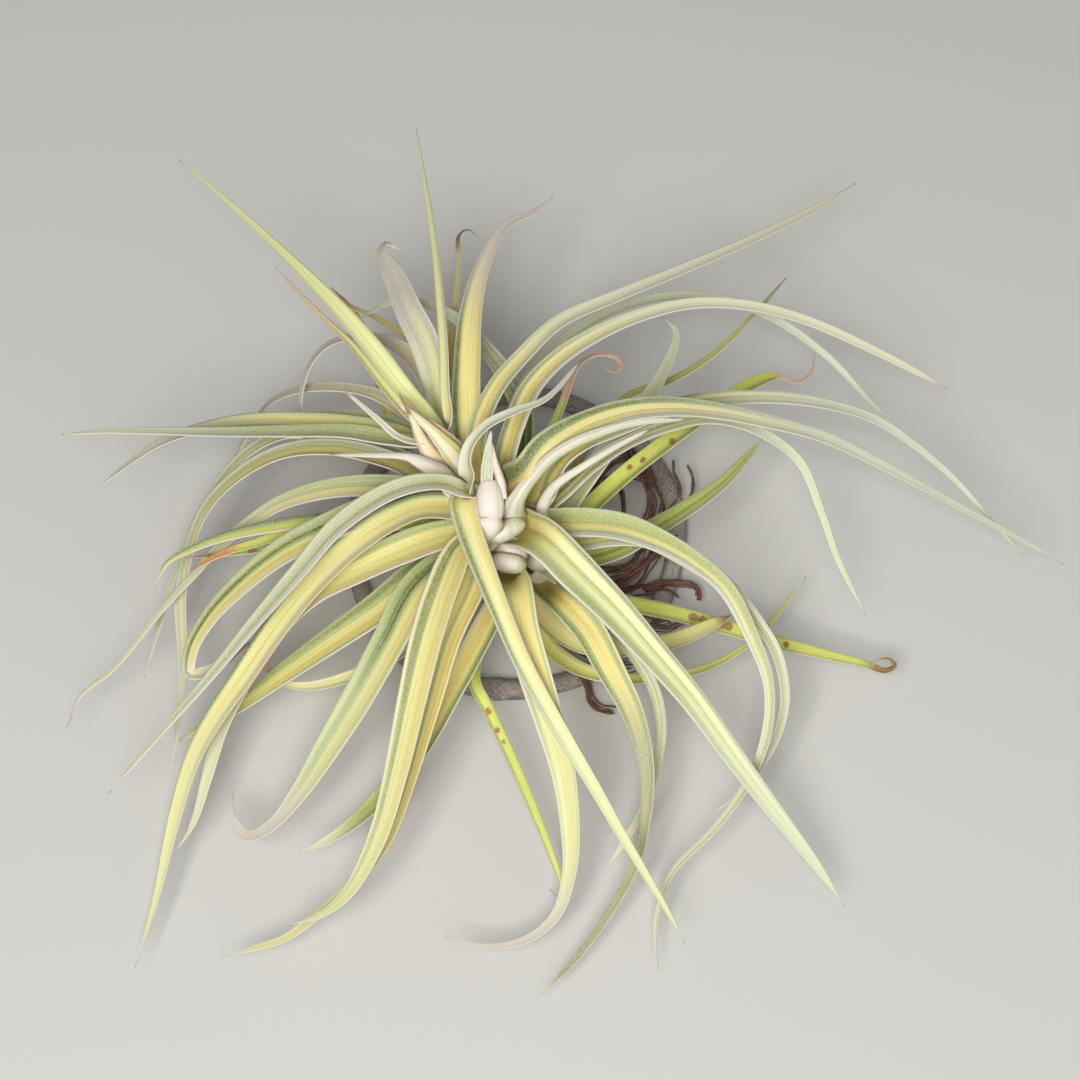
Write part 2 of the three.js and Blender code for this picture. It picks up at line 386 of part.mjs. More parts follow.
// A root: out of the knot, across to the ring and round the vine.
function rootGeometry([degrees, sway, end]) {
  const turn = THREE.MathUtils.degToRad;
  const along = turn(degrees);
  const landing = ringPoint(along, turn(ROOT_LANDING), ROOT_CLEAR);
  const start = STEMS.main.base.clone().setZ(KNOT_FLOOR + KNOT_SINK);
  const across = new THREE.Vector3().subVectors(landing, start).setZ(0).normalize();
  const aside = new THREE.Vector3(-across.y, across.x, 0);
  const between = (share, level) => start.clone().lerp(landing, share)
    .addScaledVector(aside, sway * Math.sin(Math.PI * share)).setZ(level);
  const route = [start, between(0.35, ROOT_LEVELS[0] + 0.12 * sway),
    between(0.7, ROOT_LEVELS[1] - 0.15 * sway), landing];
  for (let angle = ROOT_LANDING - ROOT_BEND; angle > end + ROOT_BEND / 2; angle -= ROOT_BEND) {
    const drift = (0.004 * sway * (ROOT_LANDING - angle)) / ROOT_BEND;
    route.push(ringPoint(along + drift, turn(angle), ROOT_CLEAR));
  }
  route.push(ringPoint(along + 0.02 * sway, turn(end), ROOT_CLEAR + 0.4));
  const curve = new THREE.CatmullRomCurve3(route, false, 'centripetal');
  const section = new THREE.Shape();
  for (let side = 0; side < ROOT_SIDES; side += 1) {
    const angle = (2 * Math.PI * side) / ROOT_SIDES;
    const corner = [ROOT_RADIUS * Math.cos(angle), ROOT_RADIUS * Math.sin(angle)];
    if (side === 0) section.moveTo(...corner);
    else section.lineTo(...corner);
  }
  section.closePath();
  const steps = Math.ceil(curve.getLength() / ROOT_STATION);
  return new THREE.ExtrudeGeometry(section, { steps, extrudePath: curve, bevelEnabled: false });
}

// The knot that the roots grow from, under the main bulb.
function knotGeometry() {
  const knot = new THREE.SphereGeometry(KNOT_RADIUS, 10, 6);
  const { x, y, z } = STEMS.main.base;
  const half = (z - KNOT_FLOOR + KNOT_SINK) / 2;
  knot.scale(1, 1, half / KNOT_RADIUS);
  knot.translate(x, y, KNOT_FLOOR + half);
  return knot;
}

// A stem's bulb: a lathe along the lean of the stem, closed on its axis.
function bulbGeometry(stem, extra) {
  const lean = new THREE.Vector3().subVectors(stem.crown, stem.base);
  const length = lean.length();
  const outline = [new THREE.Vector2(0, -extra)];
  stem.radii.forEach((radius, index) => {
    const share = index / (stem.radii.length - 1);
    outline.push(new THREE.Vector2(radius + extra, share * length + (index === 0 ? -extra : 0)));
  });
  outline.push(new THREE.Vector2(0, length + stem.radii.at(-1) * 0.8 + extra));
  const bulb = new THREE.LatheGeometry(outline, STEM_SIDES);
  const turn = new THREE.Quaternion().setFromUnitVectors(new THREE.Vector3(0, 1, 0), lean.normalize());
  bulb.applyQuaternion(turn);
  bulb.translate(...stem.base.toArray());
  return bulb;
}

// The middle line of a leaf, from inside its stem to its tip.
function leafCurve(leaf) {
  const stem = STEMS[leaf.stem];
  const foot = new THREE.Vector3().lerpVectors(stem.base, stem.crown, leaf.foot);
  const points = leaf.route.map(([u, v, z]) => sight(u, v, z));
  return new THREE.CatmullRomCurve3([foot, ...points], false, 'centripetal');
}

// Shares of a curve's length where a section stands: closer together where it turns.
function stations(curve) {
  const fine = 240;
  const tangents = Array.from({ length: fine + 1 }, (_, i) => curve.getTangentAt(i / fine));
  const step = curve.getLength() / fine;
  const cost = [0];
  for (let i = 1; i <= fine; i += 1) {
    const turn = tangents[i].angleTo(tangents[i - 1]);
    cost.push(cost[i - 1] + step / STATION_LENGTH + turn / STATION_TURN);
  }
  const count = Math.max(5, Math.round(cost[fine]));
  const shares = [];
  let i = 0;
  for (let station = 0; station <= count; station += 1) {
    const target = (cost[fine] * station) / count;
    while (i < fine && cost[i + 1] < target) i += 1;
    const part = i < fine ? (target - cost[i]) / (cost[i + 1] - cost[i]) : 0;
    shares.push(Math.min(1, (i + part) / fine));
  }
  return shares;
}

// A leaf: a channelled blade whose upper face looks along its stem, made thicker all round by
// extra.
function leafGeometry(leaf, extra = 0) {
  const curve = leafCurve(leaf);
  const stem = STEMS[leaf.stem];
  const along = new THREE.Vector3().subVectors(stem.crown, stem.base).normalize();
  const rings = stations(curve).map((share) => {
    const centre = curve.getPointAt(share);
    const tangent = curve.getTangentAt(share);
    const face = along.clone().addScaledVector(tangent, -along.dot(tangent)).normalize();
    const side = new THREE.Vector3().crossVectors(tangent, face);
    const width = spread(leaf.width, share) * FULLNESS;
    const half = width / 2 + extra;
    const lift = width * spread(CHANNEL_DEPTH, share);
    const middle = Math.min(spread(MIDDLE_THICKNESS, share), width * 0.8) / 2 + extra;
    const edge = EDGE_THICKNESS / 2 + extra;
    const at = (across, up) => centre.clone().addScaledVector(side, across).addScaledVector(face, up);
    return [at(-half, lift + edge), at(0, middle), at(half, lift + edge),
      at(half, lift - edge), at(0, -middle), at(-half, lift - edge)];
  });
  return loft(rings, [[0, 1, 4], [0, 4, 5], [1, 2, 3], [1, 3, 4]]);
}

const group = new THREE.Group();

function place(name, geometry, look) {
  const mesh = new THREE.Mesh(geometry, LOOKS[look]);
  mesh.name = name;
  group.add(mesh);
  return mesh;
}

// A bulb with its young leaves, as one solid.
function bulbSolid(name, extra) {
  const blades = YOUNG_LEAVES.filter((leaf) => leaf.stem === name);
  return blades.reduce((bulb, leaf) => bulb.add(solidOf(leafGeometry(leaf, extra))),
    solidOf(bulbGeometry(STEMS[name], extra)));
}

const mainShell = bulbSolid('main', GAP);
const shells = mainShell.add(bulbSolid('pup', GAP));
const ringShell = solidOf(ringGeometry(GAP));
const roots = ROOTS.reduce((all, root) => all.add(solidOf(rootGeometry(root))), solidOf(knotGeometry()));

place('vine_ring', geometryOf(solidOf(ringGeometry(0))), 'vine');
place('roots', geometryOf(largest(roots.subtract(shells).subtract(ringShell))), 'root');
place('main_bulb', geometryOf(bulbSolid('main', 0)), 'sheath');
place('pup_bulb', geometryOf(largest(bulbSolid('pup', 0).subtract(mainShell))), 'sheath');

const counts = { main: 0, pup: 0 };
for (const leaf of LEAVES) {
  counts[leaf.stem] += 1;
  const name = `${leaf.stem}_leaf_${String(counts[leaf.stem]).padStart(2, '0')}`;
  const blade = largest(solidOf(leafGeometry(leaf)).subtract(shells));
  place(name, geometryOf(blade), leaf.look);
}

// The origin is the bottom centre of the whole part's box.
const box = new THREE.Box3().setFromObject(group, true);
const centre = box.getCenter(new THREE.Vector3());
group.position.set(-centre.x, -centre.y, -box.min.z);

export default group;
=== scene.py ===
# %% [markdown]
# # A striped air plant on a ring of vine
#
# The real object is a living thing: two rosettes of long, channelled leaves that share a root and
# sit on a ring of weathered vine. Each leaf, the folded bases in the two hearts, the roots and the
# ring are pieces of their own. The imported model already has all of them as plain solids, so this
# lesson loads it first, keeps its box as a measure, and then dresses every solid.

# %% Load the frame
import bpy
import numpy as np
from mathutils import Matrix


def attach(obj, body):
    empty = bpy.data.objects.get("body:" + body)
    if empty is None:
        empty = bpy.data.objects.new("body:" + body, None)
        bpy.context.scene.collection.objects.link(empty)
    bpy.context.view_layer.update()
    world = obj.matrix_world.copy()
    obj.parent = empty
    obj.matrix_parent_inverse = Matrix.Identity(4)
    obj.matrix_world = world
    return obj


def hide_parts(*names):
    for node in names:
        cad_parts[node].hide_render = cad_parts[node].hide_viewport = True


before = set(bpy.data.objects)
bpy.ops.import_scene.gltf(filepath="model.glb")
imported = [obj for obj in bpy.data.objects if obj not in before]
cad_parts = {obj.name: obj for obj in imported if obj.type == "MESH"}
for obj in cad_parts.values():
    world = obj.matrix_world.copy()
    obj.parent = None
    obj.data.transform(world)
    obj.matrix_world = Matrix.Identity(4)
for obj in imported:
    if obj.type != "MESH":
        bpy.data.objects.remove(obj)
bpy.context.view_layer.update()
MM = 0.001

# %% [markdown]
# ## Where the eye stands
#
# The photograph looks steeply down on the ring. A point of the plant is easiest to name by what the
# eye sees: u to the right and v up, in millimetres on the plane through the ring's centre that faces
# the eye, and z, its height above the table. A line of sight through (u, v) meets the level z in one
# point only, so these three numbers fix it. Plain x, y and z would do as well, but then a leaf
# could not be compared with the photograph by its numbers.

# %% The eye and its lines of sight
RING_CENTRE = np.array([-22.315, 20.493, 0.0])
RING_HEIGHT = 3.6
EYE_ELEVATION = np.radians(67.5)
EYE_DISTANCE = 1300.0
EYE_FORWARD = np.array([0.0, np.cos(EYE_ELEVATION), -np.sin(EYE_ELEVATION)])
EYE_UP = np.array([0.0, np.sin(EYE_ELEVATION), np.cos(EYE_ELEVATION)])
EYE_AIM = RING_CENTRE + (11.25, 0.0, RING_HEIGHT)  # the picture's middle is right of the ring's
EYE = EYE_AIM - EYE_FORWARD * EYE_DISTANCE


def sight(points):
    """Rows of (u, v, z) as places: the line from the eye through (u, v) on its plane, at level z."""
    u, v, z = np.array(points, float).T
    on_plane = RING_CENTRE + (0, 0, RING_HEIGHT) + np.outer(u, (1, 0, 0)) + np.outer(v, EYE_UP)
    line = on_plane - EYE
    return EYE + line * ((z - EYE[2]) / line[:, 2])[:, None]


def seen_at(places):
    """The (u, v) at which the eye sees each place: where its line of sight meets the plane."""
    line = places - EYE
    hit = line * (EYE_DISTANCE / (line @ EYE_FORWARD))[..., None] + EYE - RING_CENTRE
    return np.stack([hit[..., 0], (hit - (0, 0, RING_HEIGHT)) @ EYE_UP], axis=-1)


print("the eye stands at", np.round(EYE * MM, 3), "m")

# %% [markdown]
# ## The camera, the table and the light
#
# A long lens gives the photograph's flat perspective. The camera comes first, so that every piece can
# be judged as soon as it is made. The table is a plain pale plane and the light is soft: one wide
# lamp in front, a little to the left, that draws the shadows, one weaker lamp to the right, and an
# even sky. The stripes are pale on pale, so the picture is developed with a little more contrast.

# %% Camera, table and lights
FRAME_WIDTH = 486.0  # what the picture spans at the ring, in mm
SENSOR = 36.0
LIT_SPOT = np.array([0.0, 0.0, 0.05])
camera = bpy.data.objects.new("camera", bpy.data.cameras.new("camera"))
camera.data.sensor_width = SENSOR
camera.data.lens = SENSOR * EYE_DISTANCE / FRAME_WIDTH
camera.data.clip_start = 0.01
camera.location = EYE * MM
camera.rotation_euler = (np.pi / 2 - EYE_ELEVATION, 0, 0)
bpy.context.scene.collection.objects.link(camera)
bpy.context.scene.camera = camera


def lamp(name, place, size, watts, tint):
    """A square soft lamp at place, turned to face the lit spot."""
    light = bpy.data.lights.new(name, "AREA")
    light.size, light.energy, light.color = size, watts, tint
    holder = bpy.data.objects.new(name, light)
    holder.location = place
    away = place - LIT_SPOT
    flat = np.hypot(away[0], away[1])
    holder.rotation_euler = (np.arctan2(flat, away[2]), 0, np.arctan2(away[0], -away[1]))
    bpy.context.scene.collection.objects.link(holder)


lamp("key", (-0.28, -0.92, 1.68), 0.9, 28, (1, 0.99, 0.965))
lamp("fill", (1.2, -0.9, 1.4), 1.4, 6, (0.96, 0.98, 1))
sky = bpy.data.worlds.new("sky")
sky.use_nodes = True
background = sky.node_tree.nodes["Background"].inputs
background["Color"].default_value, background["Strength"].default_value = (0.98, 0.98, 1, 1), 0.2
bpy.context.scene.world = sky
bpy.context.scene.view_settings.view_transform = "Standard"
bpy.context.scene.view_settings.look = "Medium High Contrast"
print("lens:", round(camera.data.lens, 1), "mm")

# %% [markdown]
# ## A short way to write materials
#
# A finish is a net of nodes, and a net is hard to read as code. So one class stands for a value on
# its way through the net: adding or multiplying two of them adds the Math node that does it. All
# other nodes come from one method that takes the node's type, its settings and its inputs. Colours
# are mixed by a Mix node, because a Math node would turn them grey.

# %% Colours, and values that add up
def colour(code):
    """An sRGB colour such as 'e8d488' as the linear numbers that a shader works with."""
    part = np.array([int(code[i:i + 2], 16) for i in (0, 2, 4)]) / 255
    linear = np.where(part < 0.04045, part / 12.92, ((part + 0.055) / 1.055) ** 2.4)
    return (*linear.tolist(), 1.0)


class Wire:
    """A value in a finish. Arithmetic on it adds Math nodes."""

    def __init__(self, finish, socket):
        self.finish, self.socket = finish, socket

    def math(self, operation, *values):
        """A Math node of that operation on the values."""
        return self.finish.add("ShaderNodeMath", {"operation": operation}, values)

    def __add__(self, other):
        return self.math("ADD", self, other)

    def __sub__(self, other):
        return self.math("SUBTRACT", self, other)

    def __rsub__(self, other):
        return self.math("SUBTRACT", other, self)

    def __mul__(self, other):
        return self.math("MULTIPLY", self, other)

    def __truediv__(self, other):
        return self.math("DIVIDE", self, other)

    def __abs__(self):
        return self.math("ABSOLUTE", self)

    __radd__, __rmul__ = __add__, __mul__

    def step(self, low, high):
        """0 below low, 1 above high and a smooth curve between."""
        return self.finish.add("ShaderNodeMapRange", {"interpolation_type": "SMOOTHSTEP"},
                               {"Value": self, "From Min": low, "From Max": high})


print("a mid grey in linear light:", round(colour("808080")[0], 3))

# %% A finish and its nodes
class Finish:
    """A material under way: its node net and the shader that it ends in."""

    def __init__(self, name, **shader):
        self.material = bpy.data.materials.new(name)
        self.material.use_nodes = True
        self.nodes = self.material.node_tree.nodes
        self.links = self.material.node_tree.links
        self.shader = self.nodes["Principled BSDF"]
        for socket, value in shader.items():
            self.shader.inputs[socket.replace("_", " ")].default_value = value

    def add(self, kind, settings=None, values=(), output=0):
        """A node of that kind, with its settings made first and then its inputs set or linked."""
        node = self.nodes.new(kind)
        for key, value in (settings or {}).items():
            if key != "stops":
                setattr(node, key, value)
                continue
            node.color_ramp.interpolation = "B_SPLINE"
            ramp = node.color_ramp.elements
            while len(ramp) < len(value):
                ramp.new(1.0)
            for stop, (place, tone) in zip(ramp, value):
                stop.position, stop.color = place, tone
        for key, value in values.items() if isinstance(values, dict) else enumerate(values):
            if isinstance(value, Wire):
                self.links.new(value.socket, node.inputs[key])
            elif value is not None:
                node.inputs[key].default_value = value
        return Wire(self, node.outputs[output])

    def attribute(self, name):
        """A number that the mesh carries at each vertex."""
        return self.add("ShaderNodeAttribute", {"attribute_name": name}, output=2)

    def place(self):
        """Where a point lies in the plant's frame, in metres."""
        return self.add("ShaderNodeTexCoord", output=3)

    def noise(self, at, scale, detail=2.0, roughness=0.5):
        """Soft grain of 0 to 1: cloudy noise at a place, finer with a larger scale."""
        return self.add("ShaderNodeTexNoise", {}, {"Vector": at, "Scale": scale, "Detail": detail,
                                                   "Roughness": roughness})

    def vector(self, x, y, z):
        """Three numbers as one place."""
        return self.add("ShaderNodeCombineXYZ", {}, (x, y, z))

    def mix(self, share, first, second, blend="MIX"):
        """A colour between two: first where share is 0, second (or their product) where it is 1."""
        return self.add("ShaderNodeMix", {"data_type": "RGBA", "blend_type": blend},
                        {0: share, 6: first, 7: second}, 2)

    def ramp(self, value, stops):
        """A value turned to colour by stops of (place, colour)."""
        return self.add("ShaderNodeValToRGB", {"stops": stops}, [value])

    def feed(self, **wires):
        """Links wires to the shader's sockets, and a bump of (height, strength, distance)."""
        if "bump" in wires:
            height, strength, distance = wires.pop("bump")
            bump = self.add("ShaderNodeBump", {}, {"Height": height, "Strength": strength,
                                                   "Distance": distance})
            self.links.new(bump.socket, self.shader.inputs["Normal"])
        for socket, wire in wires.items():
            self.links.new(wire.socket, self.shader.inputs[socket.replace("_", " ")])
        return self.material


floor_finish = Finish("pale_table", Base_Color=colour("c9c8c4"), Roughness=0.7)
print("nodes of a plain finish:", len(floor_finish.nodes))

# %% The table top
bpy.ops.mesh.primitive_plane_add(size=6)
floor = bpy.context.object
floor.name = "table"
floor.data.materials.append(floor_finish.material)
print("table is", tuple(floor.dimensions)[:2], "m")

# %% [markdown]
# ## Surfaces from numbers
#
# Every living piece here is a long thing that follows a curved route: a leaf, a root, the vine. So
# the first helper turns a few points into a smooth route, and the second turns a grid of places into
# a closed mesh. The route is a centripetal spline, which passes through its points and never loops
# between them, as the curves of the solids do. A curve shaped by handles would need more points.

# %% Smooth routes
def route_through(points, rows, fine=24):
    """Places, unit directions and distances of rows evenly spaced on the smooth curve through points.

    Between two points the curve is a cubic. At each point it has the slope of the parabola through
    the point and its two neighbours, on which each chord takes the square root of its length as its
    time. Beyond the ends the points go straight on.
    """
    p = np.vstack([2 * points[0] - points[1], points, 2 * points[-1] - points[-2]])
    gap = np.sqrt(np.linalg.norm(np.diff(p, axis=0), axis=1))[:, None]
    d0, d1, d2 = gap[:-2], gap[1:-1], gap[2:]
    a, b, c, d = p[:-3], p[1:-2], p[2:-1], p[3:]
    leave = ((b - a) / d0 - (c - a) / (d0 + d1) + (c - b) / d1) * d1
    arrive = ((c - b) / d1 - (d - b) / (d1 + d2) + (d - c) / d2) * d1
    t = np.linspace(0, 1, fine, endpoint=False)[None, :, None]
    b, c, leave, arrive = (x[:, None, :] for x in (b, c, leave, arrive))
    path = (b + leave * t + (3 * (c - b) - 2 * leave - arrive) * t ** 2
            + (2 * (b - c) + leave + arrive) * t ** 3)
    path = np.vstack([path.reshape(-1, 3), points[-1]])
    walked = np.concatenate([[0], np.cumsum(np.linalg.norm(np.diff(path, axis=0), axis=1))])
    along = np.linspace(0, walked[-1], rows)
    places = np.stack([np.interp(along, walked, path[:, k]) for k in range(3)], axis=1)
    heading = np.gradient(places, axis=0)
    return places, heading / np.linalg.norm(heading, axis=1, keepdims=True), along


def evenly(values, share):
    """A list of values spread evenly from 0 to 1, read at each share."""
    return np.interp(share, np.linspace(0, 1, len(values)), values)


def smooth(value, low, high):
    """0 below low, 1 above high and a smooth curve between."""
    x = np.clip((value - low) / (high - low), 0, 1)
    return x * x * (3 - 2 * x)


print("smooth route test:", np.round(route_through(np.eye(3), 5)[0][2], 3))


def closed_grid(rows, columns, start=0):
    """Faces of a tube of rings: quads between neighbouring rings, and a face at each end."""
    ring = np.arange(columns)
    base = np.arange(rows - 1)[:, None] * columns
    right = (ring + 1) % columns
    quads = np.stack([base + ring, base + right, base + right + columns, base + ring + columns], axis=-1)
    faces = (quads.reshape(-1, 4) + start).tolist()
    return faces + [(ring[::-1] + start).tolist(), (ring + (rows - 1) * columns + start).tolist()]


def piece(name, node, grids, finish, numbers=None, flat=None, faces=None):
    """A smooth mesh of grids of places in mm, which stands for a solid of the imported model.

    Each grid is closed as a tube, unless faces are given. numbers has values at the vertices, with an
    array for each grid, and flat is the grid's map of (x, y).
    """
    if faces is None:
        faces, start = [], 0
        for grid in grids:
            faces += closed_grid(*grid.shape[:2], start)
            start += grid.shape[0] * grid.shape[1]
    mesh = bpy.data.meshes.new(name)
    mesh.from_pydata((np.vstack([grid.reshape(-1, 3) for grid in grids]) * MM).tolist(), [], faces)
    mesh.polygons.foreach_set("use_smooth", np.ones(len(mesh.polygons), bool))
    for key, values in (numbers or {}).items():
        full = [np.broadcast_to(value, grid.shape[:2]).ravel() for value, grid in zip(values, grids)]
        mesh.attributes.new(key, "FLOAT", "POINT").data.foreach_set(
            "value", np.concatenate(full).astype(np.float32))
    if flat is not None:
        corner = np.empty(len(mesh.loops), np.int32)
        mesh.loops.foreach_get("vertex_index", corner)
        places = np.stack(np.broadcast_arrays(*flat), axis=-1).reshape(-1, 2)
        mesh.uv_layers.new(name="flat").data.foreach_set("uv", places[corner].astype(np.float32).ravel())
    mesh.materials.append(finish)
    item = bpy.data.objects.new(name, mesh)
    bpy.context.scene.collection.objects.link(item)
    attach(item, "root")
    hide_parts(node)


print("faces of a closed tube of 3 rings of 4:", len(closed_grid(3, 4)))

# %% [markdown]
# ## What the leaves are coloured with
#
# A variegated leaf keeps its stripes from base to tip: a cream or yellow middle, green bands beside
# it, thin green pinstripes in it and a white margin. Painting them as an image would tie the look to
# one drawing. Instead a leaf's stripes are written as letters from its left edge to its right edge,
# and a colour ramp across the blade reads them. Over the stripes lie long thin lines, the silver bloom
# of fine scales that catches the light, brown spots on old leaves, and a dry tip. At its foot a leaf
# gets painted shade down the middle, where its hollow channel would shade it.

# %% The colours of stripes and tones
# The deep amber d is partly the leaves' own amber and partly painted shade inside their channels.
STRIPE = {letter: colour(code) for letter, code in {
    "w": "e9e3d6", "c": "f1e8ac", "y": "e9dd92", "Y": "dfcc78", "d": "d3b564", "p": "eccf96",
    "e": "dadf9d", "g": "a9b272", "G": "5f6e34", "s": "b4b88f", "S": "d9d8c8", "l": "cfd95f",
    "o": "a2ae48", "W": "e8dcd2", "r": "b98779", "v": "d0c8c6"}.items()}
# Of the tones, shade is painted shade, laid on the feet of leaves that lie low or under others.
TONE = {name: colour(code) for name, code in {
    "sage": "d2d7b8", "pale": "d8dfae", "silver": "d1d4bf", "lavender": "d3cac3", "pink": "cc9a90",
    "brown": "93683f", "grey": "bab1ac", "orange": "d08a4e", "cream": "efe2c4", "rose": "a97c6f",
    "lime": "c2c862", "shade": "877a38", "amber": "e2c678", "ivory": "e4e5cb", "blush": "dcb4a6",
    "umber": "73504a", "dusk": "938c92", "moss": "8ea05c", "olive": "a3a583"}.items()}


def stripe_stops(letters):
    """Ramp stops for stripes: each run of one letter is a plateau with a soft blend at its ends."""
    runs, at = [], 0
    while at < len(letters):
        end = at
        while end < len(letters) and letters[end] == letters[at]:
            end += 1
        runs.append((at / len(letters), end / len(letters), STRIPE[letters[at]]))
        at = end
    blend = 0.48 / len(letters)
    stops = []
    for low, high, tone in runs:
        stops.append((low + blend, tone))
        if high - low >= 3 * blend:
            stops.append((high - blend, tone))
    return stops[:32]


print("stripes:", len(STRIPE), "tones:", len(TONE), "stops of a leaf:", len(stripe_stops("wsYydYcydYw")))

# %% The leaf finish
# How a leaf is toned unless its entry says otherwise: its end as (tone, how much, from, to), its foot as
# (tone, how much, up to), its tip as (tone, at, half its blend), its bloom and its foot's painted channel
# shade.
USUAL = {"fade": ("sage", 0.5, 0.45, 0.95), "base": ("cream", 0.6, 0.13), "tip": ("sage", 0.96, 0.03),
         "bloom": 0.3, "deep": 0.6}
finishes = {}


def leaf_look(changes):
    """The usual look with changes, each filled up from the usual one where it gives only its start."""
    look = dict(USUAL)
    for part, given in changes.items():
        if part in ("fade", "base", "tip"):
            given = given if isinstance(given, tuple) else (given,)
            given += USUAL[part][len(given):]
        look[part] = given
    return look


def leaf_finish(letters, **changes):
    """A leaf's material: stripes by letters, a foot tone that is pale or painted shade, a fading end, a dry
    tip, a silver bloom and painted shade down the middle of its foot.
    """
    look = leaf_look(changes)
    key = letters + repr(look)
    if key in finishes:
        return finishes[key]
    make = Finish(f"leaf_finish_{len(finishes) + 1:02d}", Roughness=0.5)
    across, along = make.attribute("across"), make.attribute("along")
    share, under, spot = make.attribute("share"), make.attribute("under"), make.attribute("spot")
    here = make.place()
    drift = make.noise(make.vector(across * 1.2, along * 0.02, share), 1.0)
    wide = make.noise(make.vector(across * 4, along * 0.006, 3.0), 1.6, 3.0)
    thin = make.noise(make.vector(across * 5, along * 0.006, 7.0), 2.0, 2.0)
    grain, dust = make.noise(here, 2300.0, 2.0, 0.6), make.noise(here, 1100.0, 2.0, 0.7)
    cloud = make.noise(here, 60.0, 2.0)
    edge = abs(across)
    stripes = make.ramp((across + (drift - 0.5) * 0.16 + (wide - 0.5) * 0.10 + 1) / 2, stripe_stops(letters))
    tone = make.mix(thin.step(0.54, 0.7) * 0.42, stripes, colour("a3a866"))
    tone = make.mix((1 - thin).step(0.55, 0.72) * 0.3, tone, colour("f8efc0"))
    name, amount, low, high = look["fade"]
    tone = make.mix(share.step(low, high) * amount, tone, TONE[name])
    name, amount, high = look["base"]
    tone = make.mix((1 - share.step(0.0, high)) * amount, tone, TONE[name])
    # Painted shade: the middle of the foot is darkened where the channel would shade it.
    if look["deep"]:
        deep = (1 - edge).step(0.1, 1.0) * (1 - share.step(0.0, 0.3)) * look["deep"]
        tone = make.mix(deep, tone, colour("cbbf6e"), "MULTIPLY")
    name, at, half = look["tip"]
    tone = make.mix(share.step(at - half, at + half) * 0.9, tone, TONE[name])
    tone = make.mix((spot + (cloud - 0.5) * 0.5).step(0.3, 0.6) * 0.8, tone, colour("97512f"))
    silver = (grain * 0.5 + dust * 0.5).step(0.47, 0.62) * (look["bloom"] * (0.3 + cloud * 1.2))
    tone = make.mix(silver, tone, colour("ecebe0"))
    tone = make.mix(edge.step(0.88, 0.99) * 0.4 + under * 0.75, tone, colour("dedacd"))
    tone = make.mix(edge.step(0.965, 1.0) * 0.2, tone, colour("b7a48c"))
    make.feed(Base_Color=tone, Roughness=0.40 + dust * 0.25,
              bump=(thin * 0.8 + wide * 0.5 + dust * 0.35, 0.4, 0.0006))
    finishes[key] = make.material
    return make.material


print("a leaf that fades to lime:", leaf_look({"fade": ("lime", 0.2)})["fade"])

# %% [markdown]
# ## How a leaf is made
#
# A leaf of this kind is a shallow channel: its middle is thick, its margins are thin and stand up a
# little. It clasps the stem at its foot, arches up and out, and its weight and growth bend the tip.
# The blade is worked out as a grid: s runs along the route from foot to tip, t across from the left
# edge at -1 to the right edge at 1. A flat strip with a Solidify modifier would lose the thick middle.

# %% The two stems and the blade
STEMS = {
    "main": (np.array([18.0, -31, 9]), np.array([-11.0, -18, 95]), [8, 11, 12.5, 12.5, 11.5, 9.5, 7, 4]),
    "pup": (np.array([8.0, -24, 16]), np.array([-34.0, 20, 85]), [6, 8, 9.5, 10, 9.5, 8.5, 7, 4]),
}
COLUMNS = 17  # places across one face of a blade
HALF_MARGIN = 0.22  # half a blade's thickness at its very edge


def stem_line(stem):
    """A stem's base, and the step from base to crown."""
    base, crown, _ = STEMS[stem]
    return base + RING_CENTRE, crown - base


def blade(middle, heading, along, facing, width, channel, thick, rim, reach):
    """The two faces of a blade as a grid of rings, and its numbers.

    Across a row the blade is an arc whose edges are its width apart and stand up by about channel
    times its width. facing says which way the upper face looks, less its part along the
    heading. Near the foot the arc may blend into a rim, the curve through three given places, over
    the first reach millimetres. The upper and lower face lie half the thickness off the middle
    surface, along its normal.
    """
    face = facing - heading * np.sum(facing * heading, axis=1, keepdims=True)
    face /= np.linalg.norm(face, axis=1, keepdims=True)
    side = np.cross(heading, face)
    t = np.linspace(-1, 1, COLUMNS)
    half = width[:, None] / 2
    turn = 4 * np.where(np.abs(channel) < 1e-3, 1e-3, channel)[:, None]
    radius = half / np.sin(turn)
    out = (side[:, None] * (radius * np.sin(turn * t))[..., None]
           + face[:, None] * (radius * (1 - np.cos(turn * t)))[..., None])
    if rim is not None:
        left, centre, right = rim
        arc = t[:, None] * (right - left) / 2 + (t ** 2)[:, None] * ((right + left) / 2 - centre)
        share = (1 - smooth(along, 0.15 * reach, reach))[:, None, None]
        out = out * (1 - share) + arc[None] * share
    surface = middle[:, None] + out
    normal = np.cross(np.gradient(surface, axis=1), np.gradient(surface, axis=0))
    normal /= np.linalg.norm(normal, axis=2, keepdims=True) + 1e-9
    body = (HALF_MARGIN + (thick[:, None] / 2 - HALF_MARGIN) * (1 - t ** 2) ** 0.8)[..., None]
    upper, lower = surface + normal * body, surface - normal * body
    grid = np.concatenate([upper, lower[:, ::-1]], axis=1)
    return grid, np.concatenate([t, t[::-1]])


print("columns round a blade:", 2 * COLUMNS)

# %% [markdown]
# ## The table of leaves
#
# Each leaf is read from the photograph: how far up its stem it grows, its stripes from left edge to
# right edge seen from its foot, its width from foot to tip in millimetres, and the points (u v z) that
# its middle line passes. These are the same routes that the solids follow, so each blade lies in its
# solid. The numbers stand in texts, with a comma between points, because a long table reads best so.

# %% What a leaf is
def rows_of(text):
    """The numbers in a text as an array, with one row for each part between commas."""
    return np.array([part.split() for part in text.split(",")], float)


